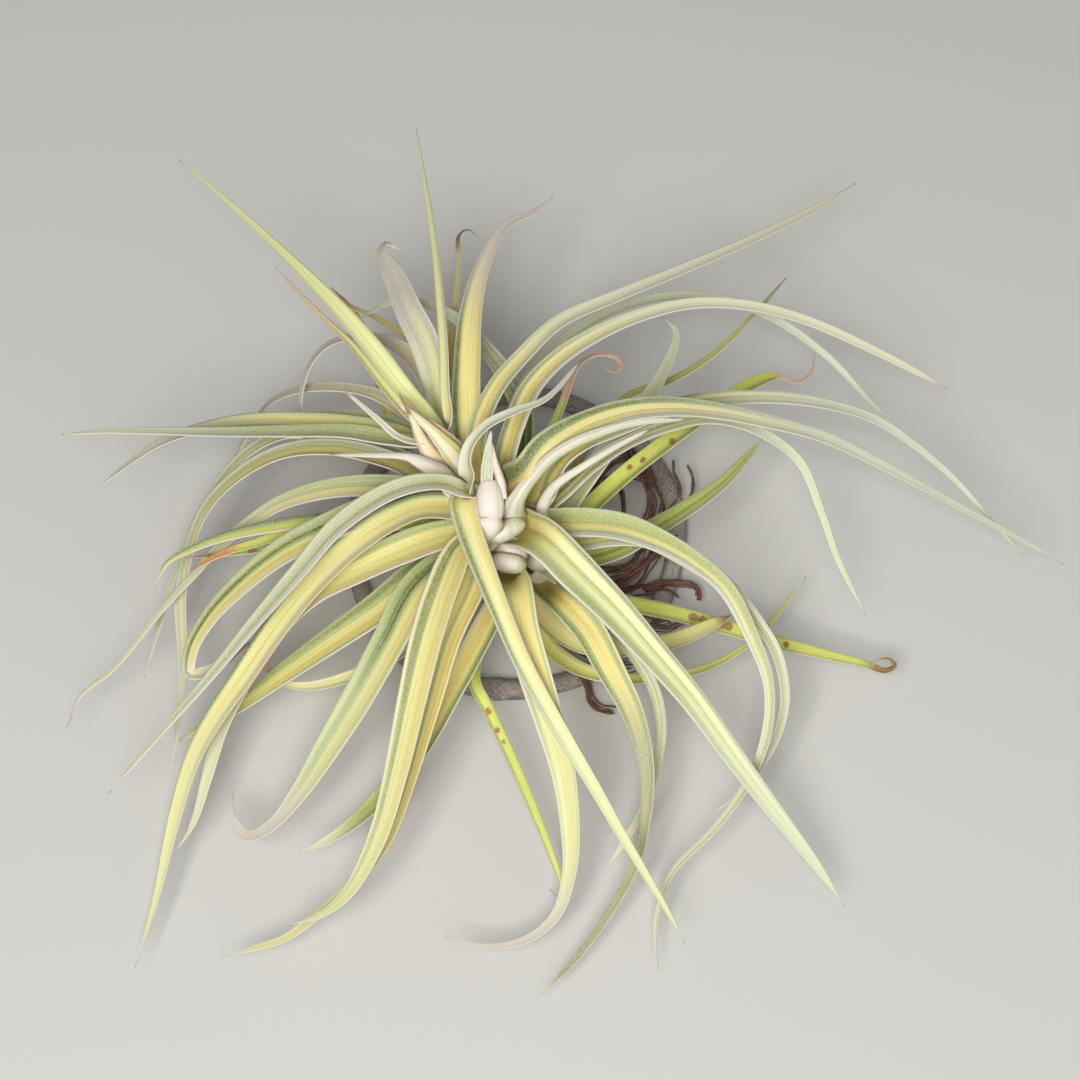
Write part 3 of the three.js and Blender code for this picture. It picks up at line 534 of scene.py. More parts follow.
class Leaf:
    """One leaf: where it grows, its stripes, widths and route, and how its finish differs."""

    def __init__(self, foot, letters, widths, route, rim=None, reach=36.0, channel=(0.2, 0.08),
                 spots=None, **finish):
        self.foot, self.letters, self.widths = foot, letters, rows_of(widths)[0]
        self.route, self.rim = sight(rows_of(route)), None if rim is None else sight(rows_of(rim))
        self.reach, self.channel, self.finish = reach, channel, finish
        self.spots = () if spots is None else rows_of(spots)


print("two points of a route:", rows_of("18 3 74, 35 0 78").tolist())

# %% The main rosette: leaves that fall to the front and the right
MAIN = [
    Leaf(0.8, "syYyyyccceesgGss", "10.6 10.2 8.9 7.5 6.7 5.9 5 4.3 3.4 2.4 1",
         "-20 4 94, -13.5 -14 94, -5.5 -34 92, 3 -54 88, 12 -71 83, 23 -90 76, 35 -110 66, 46.5 -130 55, "
         "58.5 -150 43, 70.3 -170 30, 76.5 -182 23", rim="-17.3 19.1 96, -22.6 18 94, -27.8 18.5 96",
         reach=16, fade=("pale", 0.75, 0.3, 0.65), base=("amber", 0.6, 0.16), deep=0.3),
    Leaf(0.74, "egcyyyYyyyyecgsS", "8 13 13.5 13 12 10.5 9 7.5 5.5 4 2.6 1",
         "1 -24 84, 4 -42 83, 9.5 -61 78, 16 -82 70, 22 -104 59, 25 -127 46, 24.8 -149 33, 18.5 -169 23, "
         "5 -180 18, -12 -183 16, -32 -178.5 17", rim="4.9 -8.6 64, -2.5 -14.6 58, -10 -11.5 64",
         fade=("pale", 0.5, 0.25, 0.6), base=("shade", 0.5, 0.12), tip=("lavender", 0.74, 0.12)),
    Leaf(0.84, "sGsccccggeeeessggsS", "9 15 15 13 11 9.6 8.6 7.5 6 4 1",
         "14 -1 93, 28 -15 90, 45 -32 84, 62 -51 76, 80 -72 66, 98 -97 54, 116 -121 42, 133 -143 31, "
         "148.5 -165 20", rim="4.2 15 87, 3.5 3.8 78, -7.8 -1.2 80", fade=("sage", 0.85, 0.3, 0.9),
         base=("amber", 0.6, 0.2)),
    Leaf(0.55, "egsgYyYYYYYyggGg", "7 10 12 11 8.6 6.2 4.7 3.9 3.4 2.7 1.1",
         "22 -28 66, 33 -40 66, 43 -58 62, 54 -80 54, 59.5 -103 44, 59 -124 35, 54 -146 27, 41 -170 20, "
         "24 -192.5 14, 10 -206 12", rim="17 -14.7 50, 13.4 -20 46, 7.6 -22.5 50",
         fade=("olive", 0.85, 0.3, 0.5), base=("shade", 0.6, 0.22)),
    Leaf(0.38, "ocyyccyyco", "6 8 8 8 8 8 7.6 6.4 4.5",
         "12 -32 42, 24 -44 45, 38 -49 47, 55 -48.5 47, 70 -46 46, 85 -40 44, 97 -34 42",
         fade=("lime", 0.2), base="lime", tip=("brown", 0.95)),
    Leaf(0.28, "glyyyllgl", "4.5 6 6.4 5.2 4.3 3.5 2.3 1.8 0.9",
         "13 -44 28, 25 -56 29, 40 -61.5 29, 60 -62.5 28, 85 -58 25, 103 -48.5 21, 114 -38.5 19, "
         "131 -16.5 18", fade=("lime", 0.2), base="lime"),
    Leaf(0.45, "sSgsSgs", "5 6.5 6 5 4.6 4.2 3.6 3.2 2.4",
         "24 -20 54, 40 -36 56, 54 -52 54, 63 -68 48, 66 -85 40, 63 -105 31, 56 -124 24, 43 -145.5 19",
         fade="silver", tip=("cream", 0.88)),
    Leaf(0.33, "olllyllo", "5 7.4 6.8 6.8 6.2 5.9 5.4 4 2.8 1.4",
         "30 -21.5 38, 47 -28 38, 70 -33 35, 90 -38.2 31, 117 -46.2 27, 140 -51.8 23, 158 -56 20, "
         "167 -59 19, 171 -56.5 18.5, 168 -53.5 18.5, 161 -54.5 18.5", fade=("lime", 0.2), base="lime",
         tip=("brown", 0.86), spots="80 -34.8 2.2, 84.4 -36 2.2, 92 -37.6 2.6, 96 -38.8 2.4, 122 -47 1.6"),
    Leaf(0.3, "ollllyloo", "4 5 5 5 4.4 4 3.4 2.4 1",
         "-6 -30 34, -16 -50 34, -18 -64 33, -12 -76 31, -2 -97 28, 8 -120 24, 17 -143 19, 20.5 -154 16, "
         "19 -160 14.5, 15.5 -157 14", fade=("lime", 0.2), base="lime", tip=("pink", 0.95),
         spots="-12 -77 1.6, -8 -85.5 1.5, -5 -91 1.3"),
    Leaf(0.7, "sgggggggyyyessSSS", "12 12 12.3 11 8.3 6.9 6.2 5.2 4.2 4.2 3.5 3.1 2.7 2.3 1.9 0.9",
         "25 6.8 85, 45 5.6 88, 61 0.8 87, 79 -8.6 82, 95 -22 75, 105.5 -41 66, 114.2 -65 56, "
         "113.2 -88 46, 104.5 -110 37, 90 -130 29, 71 -149.5 22, 64.5 -166 17, 63 -180 14.5, "
         "64.5 -193.5 13", fade=("silver", 0.5, 0.3, 0.6), base="shade"),
    Leaf(0.66, "SsSWsgygsSWS", "7 9 9.5 9 8 7 6 4.8 4.4 4 3.6 3.2 2.2",
         "15 -1 72, 30 -1 77, 45 1 79, 60 0 78, 78 -9 73, 95 -21 67, 109 -37 59, 118 -52 51, "
         "121.5 -72 42, 117.5 -89 34, 108 -105 28, 98 -116.5 24, 91 -122 22", fade="silver",
         tip=("cream", 0.9)),
    Leaf(0.52, "oglGlgs", "6 9.5 10.4 10 9.2 8 6.6 4.4 1.4",
         "20 -9 58, 35 -8 62, 48 -4 63, 60 3 62, 75 12 57, 94 26 50, 112 46 42", fade=("sage", 0.2),
         base="lime"),
]
print("leaves so far:", len(MAIN))

# %% The main rosette: leaves that arch to the right and the back
MAIN += [
    Leaf(0.92, "gGGGgyyccYYyysSWSS", "9 12 12.5 10.8 9 7.2 6 5 4.2 3.4 2.8 2 1",
         "6 26 104, 15 39 111, 30 49.7 115, 50 57 116, 70 59 113, 90 57.5 107, 115 52.5 98, 140 45.5 87, "
         "170 31 72, 200 15 56, 230 -1 42, 247 -11 35", rim="-6.1 33.1 99, -1 21 90, 4 27 92", reach=60,
         fade=("silver", 0.9, 0.2, 0.6), base=("shade", 0.4)),
    Leaf(0.74, "GGgYYyGgYyYygSWSW", "8 10 9.5 9 8 7 6 5 4 3 2.4 1.6 1",
         "18 31 90, 32 43.5 97, 50 51.5 101, 75 60 99, 100 63.5 93, 130 62.5 83, 160 55 70, "
         "178.5 43.5 61, 198 27 51, 215 8 42, 229 -7.5 36", rim="6 31 88, 11 14 78, 18 20 88", reach=60,
         fade=("silver", 0.9, 0.2, 0.62), base="shade"),
    Leaf(0.66, "SsGGgyGsSS", "6 7 7 6 5 4.2 3.6 3 2.4 1",
         "20 19 76, 35 33 82, 52 44 86, 72 51.5 86, 90 54 83, 110 48.5 76, 128 35 66, 138 12 54, "
         "145 -8 45, 158 -34.6 35", fade=("sage", 0.9, 0.2, 0.65), base="shade"),
    Leaf(0.55, "SsggsggsS", "6 8 9 9.4 9 8 6.4 4.6 3 1.4",
         "18 6 62, 27 19 68, 38 35 74, 52.5 53.5 77, 63 68.5 75, 71.5 86 70, 72.3 94 67, 66.5 100 64",
         fade=("sage", 0.8, 0.1, 0.5), base="shade"),
    Leaf(0.4, "ogdgo", "3.4 4 3.8 3.4 3 2.4 1",
         "22 22 54, 35 45 60, 50 64 62, 70 71.5 61, 90 84 57, 110 104 50, 122 118 46", fade=("sage", 0.3),
         base="shade", tip=("brown", 0.95)),
    Leaf(0.45, "llllyllooo",
         "7 8 8.2 8.2 8.2 8.2 8.2 8.2 8.2 8.2 8.2 8.2 8 8 7.8 7.6 7.4 7.2 7 7 6.8 6.6 6.4 6.2 5.8 1.6 1.6 "
         "1.5 1.4 1.2 1",
         "24 5 52, 35 15.4 56, 50 29 58, 67 42.3 57, 85 55.5 53, 103 68 47, 118 73.7 42, 127 70.8 40, "
         "133 75 39, 135 86 38", fade=("lime", 0.2), base="lime", tip=("blush", 0.82, 0.012),
         spots="51.6 32.7 1.6, 57.5 36 1.4, 70.7 44.5 1.8, 81 53 1.6"),
    Leaf(0.6, "oglgo", "4 5 5 4.4 3.6 3 2 1.4 1",
         "10 28 70, 15 45 75, 21 60 77, 28 78 75, 33 82 73, 38 83.5 72, 45.5 82 71, 48 78.5 71, "
         "44.5 75.5 72.5, 40 77.5 75", base="shade", tip=("pink", 0.55)),
    Leaf(None, "SSSSSSSSsgYgs", "1.5 7.2 7.8 5.6 4.8 4.9 4.4 3.7 3.1 2.5 1.8 0.8",
         "-18 20 92, -19.5 24.5 100, -20.8 29.5 107, -21.8 35 112, -20.8 41 116, -18.3 45.5 118, "
         "-12.5 51.5 119, -2 57 120, 14 63.5 118, 29 80 114", channel=(0.25, 0.1), fade=("silver", 1, 0.1),
         base=("cream", 0.3)),
    Leaf(0.88, "gGyYYYYggs", "7 8.5 8 7 6.4 5.8 5.2 4.6 3.8 1.6",
         "-17 36 95, -15 52 103, -8 68 107, 4 82.5 108, 20 97.5 106, 45 108.8 99, 75 121.2 88, "
         "110 136.6 74, 140 151.8 62, 153 160.5 57", fade=("ivory", 0.92, 0.1, 0.5), base="shade"),
    Leaf(0.82, "sGgcYYYYgsWS", "7 9 9.4 8.4 7 5.8 5 4.5 4 3.2 1.8",
         "-5 30 88, 0 50 95, 8 68 99, 20 81 100, 35 91 100, 55 100 98, 80 106 93, 105 105.2 87, "
         "130 99 79, 160 86 68, 195 68 54", fade=("ivory", 0.85, 0.15, 0.55), base="shade",
         tip=("pink", 0.98)),
    Leaf(0.62, "ssgceggs", "5 6 6.5 6 5.5 5 4 3.2 2.4 1",
         "-2 45 74, 3 65 79, 15 82 82, 35 98.2 82, 60 107.6 78, 85 109.4 72, 112 102 64, 140 83 54, "
         "160 62 47, 173 49 43", fade=("silver", 0.85, 0.1, 0.5), base="shade"),
    Leaf(0.7, "sGGgYyyyyyyyyyYYs", "8 11 12.5 12 11 9.4 7.4 5 3.6 1.2",
         "-18 38 76, -21 58 84, -21 80 90, -19 105 91, -13 126 88, -3 142 83, 9 148 80, 17 154.5 78",
         fade=("lavender", 0.95, 0.45, 0.85)),
    Leaf(0.42, "oddo", "4.4 5.2 4.8 4 3.4 2.8 2.2 1.4",
         "-12 38 58, -22 60 66, -28 78 67, -28 95 65.5, -27 105 64, -25.3 125 60, -25 137 58, "
         "-21 139.5 58, -17 137 58", base="shade", tip=("umber", 0.9)),
    Leaf(0.55, "sGgGGsGGs", "5 7 8 8 7 5.5 4 3 1",
         "4 40 64, 4 56 68, -3 72 71, -14 87 72, -27 100 72, -42 106.5 71, -57 106.5 70, -72 98 68",
         fade=("silver", 0.85, 0.3, 0.8), base="shade"),
]
print("leaves so far:", len(MAIN))

# %% The main rosette: leaves that fall to the left and the front
MAIN += [
    Leaf(0.86, "WWSSsggSgSgSg", "6.5 7.5 8.5 9 8.5 7.5 6 4.6 3.2 2.2 1",
         "-18 19.5 92, -24 22 98, -32 25 103, -45 24.5 107, -60 19 106, -80 5 101, -97.5 -15 92, "
         "-117.5 -38 80, -138.3 -63 67, -159 -86.5 53, -183 -114 38", fade=("sage", 0.3, 0.4), bloom=0.4),
    Leaf(0.75, "dYwsccccyyyyeegG", "9 12 12 12.5 12.5 12 11.5 10.5 9 7.2 6 4.2 2.2 1",
         "-16 12 80, -28 13.5 84, -42 13.5 88, -58 7 90, -75 -5 86, -91 -20.5 79, -106.5 -39.5 71, "
         "-121.5 -61.5 61, -134.5 -80 52, -144.8 -99 43, -153.5 -127 32, -161.7 -162 21, -171 -192 14",
         fade=("pale", 0.6)),
    # Its tip is its own lavender darkened with painted shade, where the underside turns from the light.
    Leaf(0.74, "SWcyyYYyegGGggss", "9.6 12 13.6 14 13.6 13 11.6 10 8 6 5 4",
         "-22 13 77, -45 16.5 82, -65 12 84, -85 3.8 84, -105 -6.5 81, -122.5 -20 75, -137 -35 67, "
         "-145.5 -50 60, -146 -60 57, -138 -59 56, -127 -52 55, -119 -46 54",
         fade=("lavender", 0.8, 0.78, 0.9), tip=("dusk", 0.92)),
    Leaf(0.64, "SWpeepsgssgs", "6.9 9.2 10.3 9.8 8.6 6.9 5.2 3.4 2.6 2.3 1.9 1",
         "-22 15.5 70, -45 21.8 73, -65 23.6 74, -85 22 72, -105 16.2 67, -121 6.2 61, -132 -2.5 56, "
         "-144.5 -16 50, -160 -33 42, -180 -57.5 33, -196 -71 27, -201.5 -84 24",
         fade=("sage", 0.7, 0.3, 0.7), tip=("pink", 0.97)),
    Leaf(0.55, "WylllggGG", "6.6 8.8 8.8 7.7 7.2 6.6 5.5 4 2.6 1.1",
         "-20 6.5 67, -45 7 69, -70 8.7 73, -92 8 74, -110 5.6 73.5, -130 1.3 70, -146 -4.6 66, "
         "-157 -11 62, -162 -22 57", fade=("sage", 0.2)),
    Leaf(0.47, "olllyllo", "5 6 6 5.5 5 5 4.4 3 1",
         "-20 -0.5 59, -50 4 63, -80 6 67, -100 4 68, -115 -1 67, -130 -5.5 66, -141 -11 64, -148 -17 62",
         fade=("lime", 0.1), tip=("orange", 0.84)),
    Leaf(0.38, "ooglgo", "4 5 5 4.6 4 3.4 2.6 1",
         "-25 -5 50, -60 0 58, -90 1 61.5, -105 -2.5 62, -120 -5 61, -135 -7 59.5, -148 -8 58",
         fade=("lime", 0.1), tip=("brown", 0.92), spots="-118 -5 2"),
    Leaf(0.68, "SWpyYeyyeyyyeggs", "9.2 12.6 14.9 13.8 12 11 9.6 7.6 5.8 3.6 1.2",
         "-18 3 74, -35 0 78, -52 -6 78, -70 -14 75, -91 -25 70, -109.5 -43.5 62, -122.5 -65 51, "
         "-132.5 -86 41, -138.7 -108 33, -144.5 -127 27, -152.5 -140.5 24", fade=("sage", 0.85, 0.5, 0.8)),
    Leaf(0.46, "SgyYYyyeggGg", "9.5 13 14.8 14.8 12.8 10.6 8.2 5.5 2.2",
         "-18 -10 54, -40 -15.5 62, -60 -31 62, -80 -44.5 57, -100 -58 48, -120 -71.8 38, -137 -83 29, "
         "-153 -91 23", fade=("lime", 0.3)),
    Leaf(0.76, "yycyyYyyyeyygGgGyS", "8 11 13.5 13.5 13 12 11 9.5 8.5 6.5 3.8 1.4",
         "-14 1 80, -23 -4 84, -31.5 -22 86, -39 -45 84, -45.5 -72 77, -51.8 -100 66, -59 -127 54, "
         "-66.5 -145 46, -76 -160 39, -88 -169 34, -101.5 -173.5 31", fade=("pale", 0.6, 0.4, 0.9)),
    Leaf(0.6, "yYYyYYyygsyyYYS", "7.7 11 13.2 12.1 11 8.8 6.6 5.5 5 4.4 4 2.9 1.5",
         "-15 -12 74, -20 -24 76, -30 -46 73, -39 -78 64, -48 -110 51, -58 -136 40, -72 -154 31, "
         "-88 -168 24, -103 -179 19, -120 -184.5 16, -131.5 -187 14.5", fade="pale", deep=0.3),
    Leaf(0.46, "gGggyYYYYYyyS", "7 9 11 11 10.5 9.5 8 5.5 1.6",
         "-4 -22 54, -14 -42 57, -28 -68 54, -42 -93 45, -56 -111 36, -70 -125 29, -84 -135 24, "
         "-97 -140.5 21", fade=("moss", 0.7, 0.5, 0.72), tip=("ivory", 0.88, 0.08)),
    Leaf(0.6, "SyYYcYyyegGGGggs", "8 12 15.2 15.5 14.8 14.2 13.6 11.8 8.8 5.6 3.8 2",
         "-16 -6 65, -29 -11 70, -43 -23 74, -55.5 -46 72, -69.5 -71 64, -84.5 -95 53, -97 -114 43, "
         "-109.5 -128.5 35, -120 -133.3 30, -127 -124 27, -127 -114 26", fade=("pale", 0.6, 0.3, 0.6),
         tip=("lavender", 0.74, 0.12)),
    Leaf(0.4, "sgeccyce", "5 6 6.4 6.4 6 5.6 4.6 2.4 1.6",
         "-15 -22 50, -35 -37 53, -55 -53 51, -75 -62 46, -95 -66 41, -107 -62.5 38, -112 -56 37, "
         "-109 -49 37", fade="cream", tip=("pink", 0.88)),
]
print("leaves of the main rosette:", len(MAIN))

# %% The pup's leaves
PUP = [
    Leaf(0.9, "geeeceeeceeeg", "3.5 6.4 7.5 6.6 5 3.6 2.6 1.8 0.9",
         "-33.5 47 87, -39.5 56 90, -49.5 67.5 97, -63.8 86 101, -78.6 103.2 101, -98.8 123.8 97, "
         "-119 143 90, -136.5 158.5 84, -151 171 79", fade=("pale", 0.7, 0.35), base=("lime", 0.5, 0.3),
         deep=0),
    Leaf(0.84, "rgleegr", "4 5 4.4 3.2 2 1.4 0.8",
         "-37 47 80, -46 55 86, -58 69 91, -72 86.5 92, -88 102 90, -108 123 85", fade=("blush", 0.7, 0.5),
         base=("lime", 0.4, 0.4), deep=0),
    Leaf(0.62, "dYYd", "3 4 3.6 3.2 2.6 2 1",
         "-26 53 60, -35 76 62, -46 89 62, -62 99.5 60, -78 107.2 58, -91 119 56", base="shade",
         tip=("orange", 0.8)),
    Leaf(0.44, "oYo", "4 5 5 3.6 2.2 1.8 1",
         "-28 32 47, -46 44 50, -56 56 52, -61 70 53, -65 86 53, -71 101 52, -83 114 50",
         base=("lime", 0.6, 0.5), tip=("orange", 0.85, 0.1)),
    Leaf(0.6, "SsYdYsS", "5.5 9 9.8 9 7.2 5.2 4 2.8 1.4",
         "-32 55 66, -36 67 72, -44 79 77, -56 88 79, -70 91 79, -84 87.5 77, -93 77 72, -96.5 62 66, "
         "-96 50 62", fade=("grey", 0.75, 0.22, 0.6)),
    Leaf(0.72, "sSgseyegS", "7 11 12.8 12.4 11.8 11.2 10.4 8.8 4.6 1.6",
         "-32 56 76, -35 72 84, -40 88 89, -47.5 103 91, -54 118 89, -60 129 87, -58 133.5 86.5, "
         "-52 130.5 86", fade=("grey", 0.85, 0.2, 0.75)),
    Leaf(0.86, "sceces", "4 4.6 4 3.5 3 2.4 1.4 0.7",
         "-29 51 92, -31 66 99, -31.8 85 102, -34 112 99, -36.5 135 93, -41.5 166 83, -44.7 186 77",
         fade="pale"),
    Leaf(0.88, "WSssgsgsg", "7.5 10 10 8.8 7.5 6.2 5 3.8 2.5 1.2",
         "-41 42 86, -55 44 90, -75 47.5 92, -100 48 91, -130 48 86, -160 48.6 79, -185 48.7 73, "
         "-204 47.5 68", fade=("ivory", 0.95, 0.35), bloom=0.4),
    Leaf(0.8, "gssceyyyes", "6.2 8.8 10 10 9.2 8.2 6.8 4.4 1.6",
         "-38 42 75, -50 47 81, -70 50.5 84, -95 52.5 82, -120 52.8 77, -140 49.8 71, -160 43 64, "
         "-187.5 24 55", fade=("silver", 0.9, 0.4, 0.85)),
    Leaf(0.72, "wsgs", "6.2 7.5 7.5 6.2 3.8 1.2",
         "-36 42 70, -48 48.5 74, -62 53.5 76, -78 56 75, -96 55 72, -110 53 69"),
    Leaf(0.52, "ScyySsgsS", "5 6.2 6.6 6.8 6 4.8 3 1.2",
         "-34 44 55, -48 56 61, -62 64.5 64, -80 68.3 65, -96 67.3 60, -110 61.5 55, -120 48 48, "
         "-130 28 42", fade=("grey", 0.6, 0.2, 0.7)),
    Leaf(0.54, "SsyycsgsS", "5 7.5 9.4 9.4 9 8 6.4 4.6 3 1.4",
         "-38 30 54, -55 37.5 57, -78 43.5 60, -100 47.5 60, -118 40 55, -134 23 48, -145 3 41, "
         "-153 -15 35, -159 -35 30, -167 -62 24", fade=("silver", 0.8, 0.3)),
    Leaf(0.62, "SsypyygssS", "7.5 10 11 11.4 11 9.6 7.6 6 4.4 3 1.4",
         "-34 25 60, -55 34 64, -80 40 67, -103 38.5 66, -122 29.5 62, -138 14 55, -146 -5 46, "
         "-150 -25 40, -149.5 -55 36, -153.5 -101 32", fade=("silver", 0.7, 0.3)),
    Leaf(None, "rWWSWWWSWWWSWr", "9 13 13 8 4.4 3.6 3 2 1",
         "-22 21 84, -25.5 25.5 90, -30.2 30.4 95, -39.6 35.1 98, -48.1 38.1 98, -63.7 38.6 97, "
         "-83 38.3 94", channel=(-0.33, -0.2), fade="silver", bloom=0.6),
    Leaf(0.98, "WSgSW", "3.5 4 3 2 1",
         "-41 43.5 96, -52 46 98, -62 54.5 101, -77 67.5 103", tip=("pink", 0.93)),
]
print("leaves of the pup:", len(PUP))

# %% [markdown]
# ## Growing the leaves
#
# One function grows a leaf from its entry. The route starts inside the stem, so that the foot is
# hidden as on the real plant, and the blade is wider and deeper there because it clasps the stem. It
# also keeps at each vertex how far across and along the leaf it is, for the finish to read.

# %% Grow a leaf
FULLNESS = 1.13  # how much wider a blade is than it looks, because its margins stand up
ROW_STEP = 1.7
THICKNESS = [1.4, 0.8]  # of a blade's middle, from its foot to its tip
BEHIND = 0.08  # how far below a rim, as a share of the stem, the route begins
CLASP_ENDS = (4, 24)  # the foot's clasp fades between these distances
CLASP_WIDER, CLASP_DEEPER = 0.35, 0.12


def grow(name, node, leaf, rows=None, facing=None):
    """A leaf's piece: a blade along its route, which narrows at once at its very tip.

    With a rim, the route begins in the stem behind it. Without one, the foot is a third wider and
    deeper, to clasp the stem. A spot fades from its centre as exp(-(distance / size)²).
    """
    base, rise = stem_line(name.split("_")[0])
    points, rim = leaf.route, leaf.rim
    if rim is not None:
        foot = base + rise * (leaf.foot - BEHIND)
        points = np.vstack([rim[1] * 0.4 + foot * 0.6, rim[1], points])
        rim = rim - rim[1]
    elif leaf.foot is not None:
        points = np.vstack([base + rise * leaf.foot, points])
    rows = rows or int(np.clip(route_through(points, 2)[2][-1] / ROW_STEP, 36, 190))
    middle, heading, along = route_through(points, rows)
    share = along / along[-1]
    width = evenly(leaf.widths, share) * (1 if leaf.foot is None else FULLNESS)
    width *= np.minimum(1, (1 - share) * 14 + 0.12)
    channel = evenly(leaf.channel, share)
    if rim is None and leaf.foot is not None:
        clasp = 1 - smooth(along, *CLASP_ENDS)
        width = width * (1 + CLASP_WIDER * clasp)
        channel = channel + CLASP_DEEPER * clasp
    thick = np.minimum(evenly(THICKNESS, share), width * 0.5)
    facing = np.broadcast_to(rise / np.linalg.norm(rise) if facing is None else facing, middle.shape)
    grid, t = blade(middle, heading, along, facing, width, channel, thick, rim, leaf.reach)
    spot, seen = 0.0, seen_at(grid)
    for u, v, size in leaf.spots:
        off = np.hypot(seen[..., 0] - u, seen[..., 1] - v) / size
        spot = np.maximum(spot, np.exp(-off ** 2))
    numbers = {"across": [t], "along": [along[:, None]], "share": [share[:, None]],
               "under": [np.repeat([0.0, 1.0], COLUMNS)], "spot": [spot]}
    piece(name, node, [grid], leaf_finish(leaf.letters, **leaf.finish), numbers,
          (np.linspace(0, 1, 2 * COLUMNS), share[:, None]))


LEAVES = {f"{stem}_leaf_{number:02d}": leaf for stem, leaves in (("main", MAIN), ("pup", PUP))
          for number, leaf in enumerate(leaves, 1)}
for name, leaf in LEAVES.items():
    grow(name.replace("leaf", "blade"), name, leaf)
print("blades grown:", len(LEAVES))

# %% [markdown]
# ## The ring of vine
#
# The ring is one length of weathered vine, bent round and dried grey. It wanders a little, swells and
# shrinks, and its bark has long cracks and small pits. It lies on the table, so its underside is
# pressed flat. A torus with a bump would be too even: here the bark's larger waves are in the shape.

# %% The ring
VINE_RADIUS, VINE_TUBE = 72.2, 4.3
VINE_KNOTS = (0.7, 2.3, 3.1, 4.6, 5.7)  # angles round the ring


def vine_surface(rows=360, columns=28):
    """A torus whose middle line wanders and whose section swells by sums of sines round the ring.

    Bark waves, long round the ring and short round the section, and a bump at each knot's angle are
    added to the section's radius, and nothing goes below the table.
    """
    ring = np.linspace(0, 2 * np.pi, rows, endpoint=False)[:, None]
    around = np.linspace(0, 2 * np.pi, columns, endpoint=False)[None]
    tube = VINE_TUBE * (1 + 0.07 * np.sin(3 * ring + 1) + 0.04 * np.sin(11 * ring))
    tube = tube + 0.10 * np.sin(5 * around + 9 * ring + 2 * np.sin(2 * ring))
    tube = tube + 0.07 * np.sin(9 * around - 4 * ring)
    for knot in VINE_KNOTS:
        tube = tube + 0.55 * np.exp(-(np.angle(np.exp(1j * (ring - knot))) * 24) ** 2)
    centre = VINE_RADIUS + 0.9 * np.sin(2 * ring + 0.6) + 0.5 * np.sin(5 * ring)
    reach = centre + tube * np.cos(around)
    height = np.maximum(tube * np.sin(around) + RING_HEIGHT, 0)
    places = np.stack([reach * np.cos(ring), reach * np.sin(ring), height], axis=-1)
    return places + RING_CENTRE, ring, around


print("rings and places of the vine:", vine_surface()[0].shape[:2])

# %% Its bark
def vine_finish():
    """Grey bark: long streaks round the ring, dark cracks, pits and a pale dusting."""
    make = Finish("grey_bark", Roughness=0.85)
    ring, around = make.attribute("ring"), make.attribute("around")
    here = make.place()
    streak = make.noise(make.vector(around * 3, ring * 2.2, 0.0), 2.4, 4.0, 0.6)
    pit = make.noise(here, 900.0, 3.0, 0.6)
    cloud = make.noise(here, 40.0, 2.0)
    greys = [(0.28, "4f4743"), (0.44, "8f8680"), (0.58, "b3aba6"), (0.74, "d8d2cc")]
    tone = make.ramp(streak * 0.7 + cloud * 0.3, [(at, colour(code)) for at, code in greys])
    tone = make.mix((1 - pit).step(0.58, 0.72) * 0.7, tone, colour("3d3430"))
    return make.feed(Base_Color=tone, bump=(streak + pit * 0.6, 0.7, 0.0012))


grid, ring, around = vine_surface()
cell = np.arange(grid[..., 0].size).reshape(grid.shape[:2])
down, right = np.roll(cell, -1, axis=0), np.roll(cell, -1, axis=1)
quads = np.stack([cell, down, np.roll(down, -1, axis=1), right], axis=-1).reshape(-1, 4)
piece("vine_ring_bark", "vine_ring", [grid], vine_finish(),
      {"ring": [np.sin(ring * 7) * 2], "around": [np.cos(around)]}, faces=quads.tolist())
print("ring spans", np.round(np.ptp(grid.reshape(-1, 3), axis=0), 1), "mm")

# %% [markdown]
# ## The roots
#
# Roots of an air plant hold on and do little else: stiff, wiry, reddish brown strands that leave the
# foot of the plant, cross to the ring and wrap round it. There are many, so each is a thin tube with
# few sides along a route with its own seeded sway. They run in bundles, and each bundle has a count,
# a thickness, how far its strands stray, and a route. All of them are one piece, as in the solid.

# %% A strand
def strand(points, radius, rows, sides=6):
    """A tube along the route through points: a circle of the radius carried along.

    The radius falls to about half by the square of the way along, and ripples a little.
    """
    middle, heading, along = route_through(points, rows)
    up = np.broadcast_to([0.05, 0.1, 1.0], heading.shape)
    side = np.cross(heading, up)
    side /= np.linalg.norm(side, axis=1, keepdims=True)
    over = np.cross(side, heading)
    angle = np.linspace(0, 2 * np.pi, sides, endpoint=False)
    size = radius * (1 - 0.45 * (along / along[-1]) ** 2) * (1 + 0.12 * np.sin(along * 0.9))
    circle = side[:, None] * np.cos(angle)[None, :, None] + over[:, None] * np.sin(angle)[None, :, None]
    return middle[:, None] + circle * size[:, None, None]


print("a strand's grid:", strand(sight([(0, 0, 9), (9, 0, 9)]), 0.6, 4).shape)

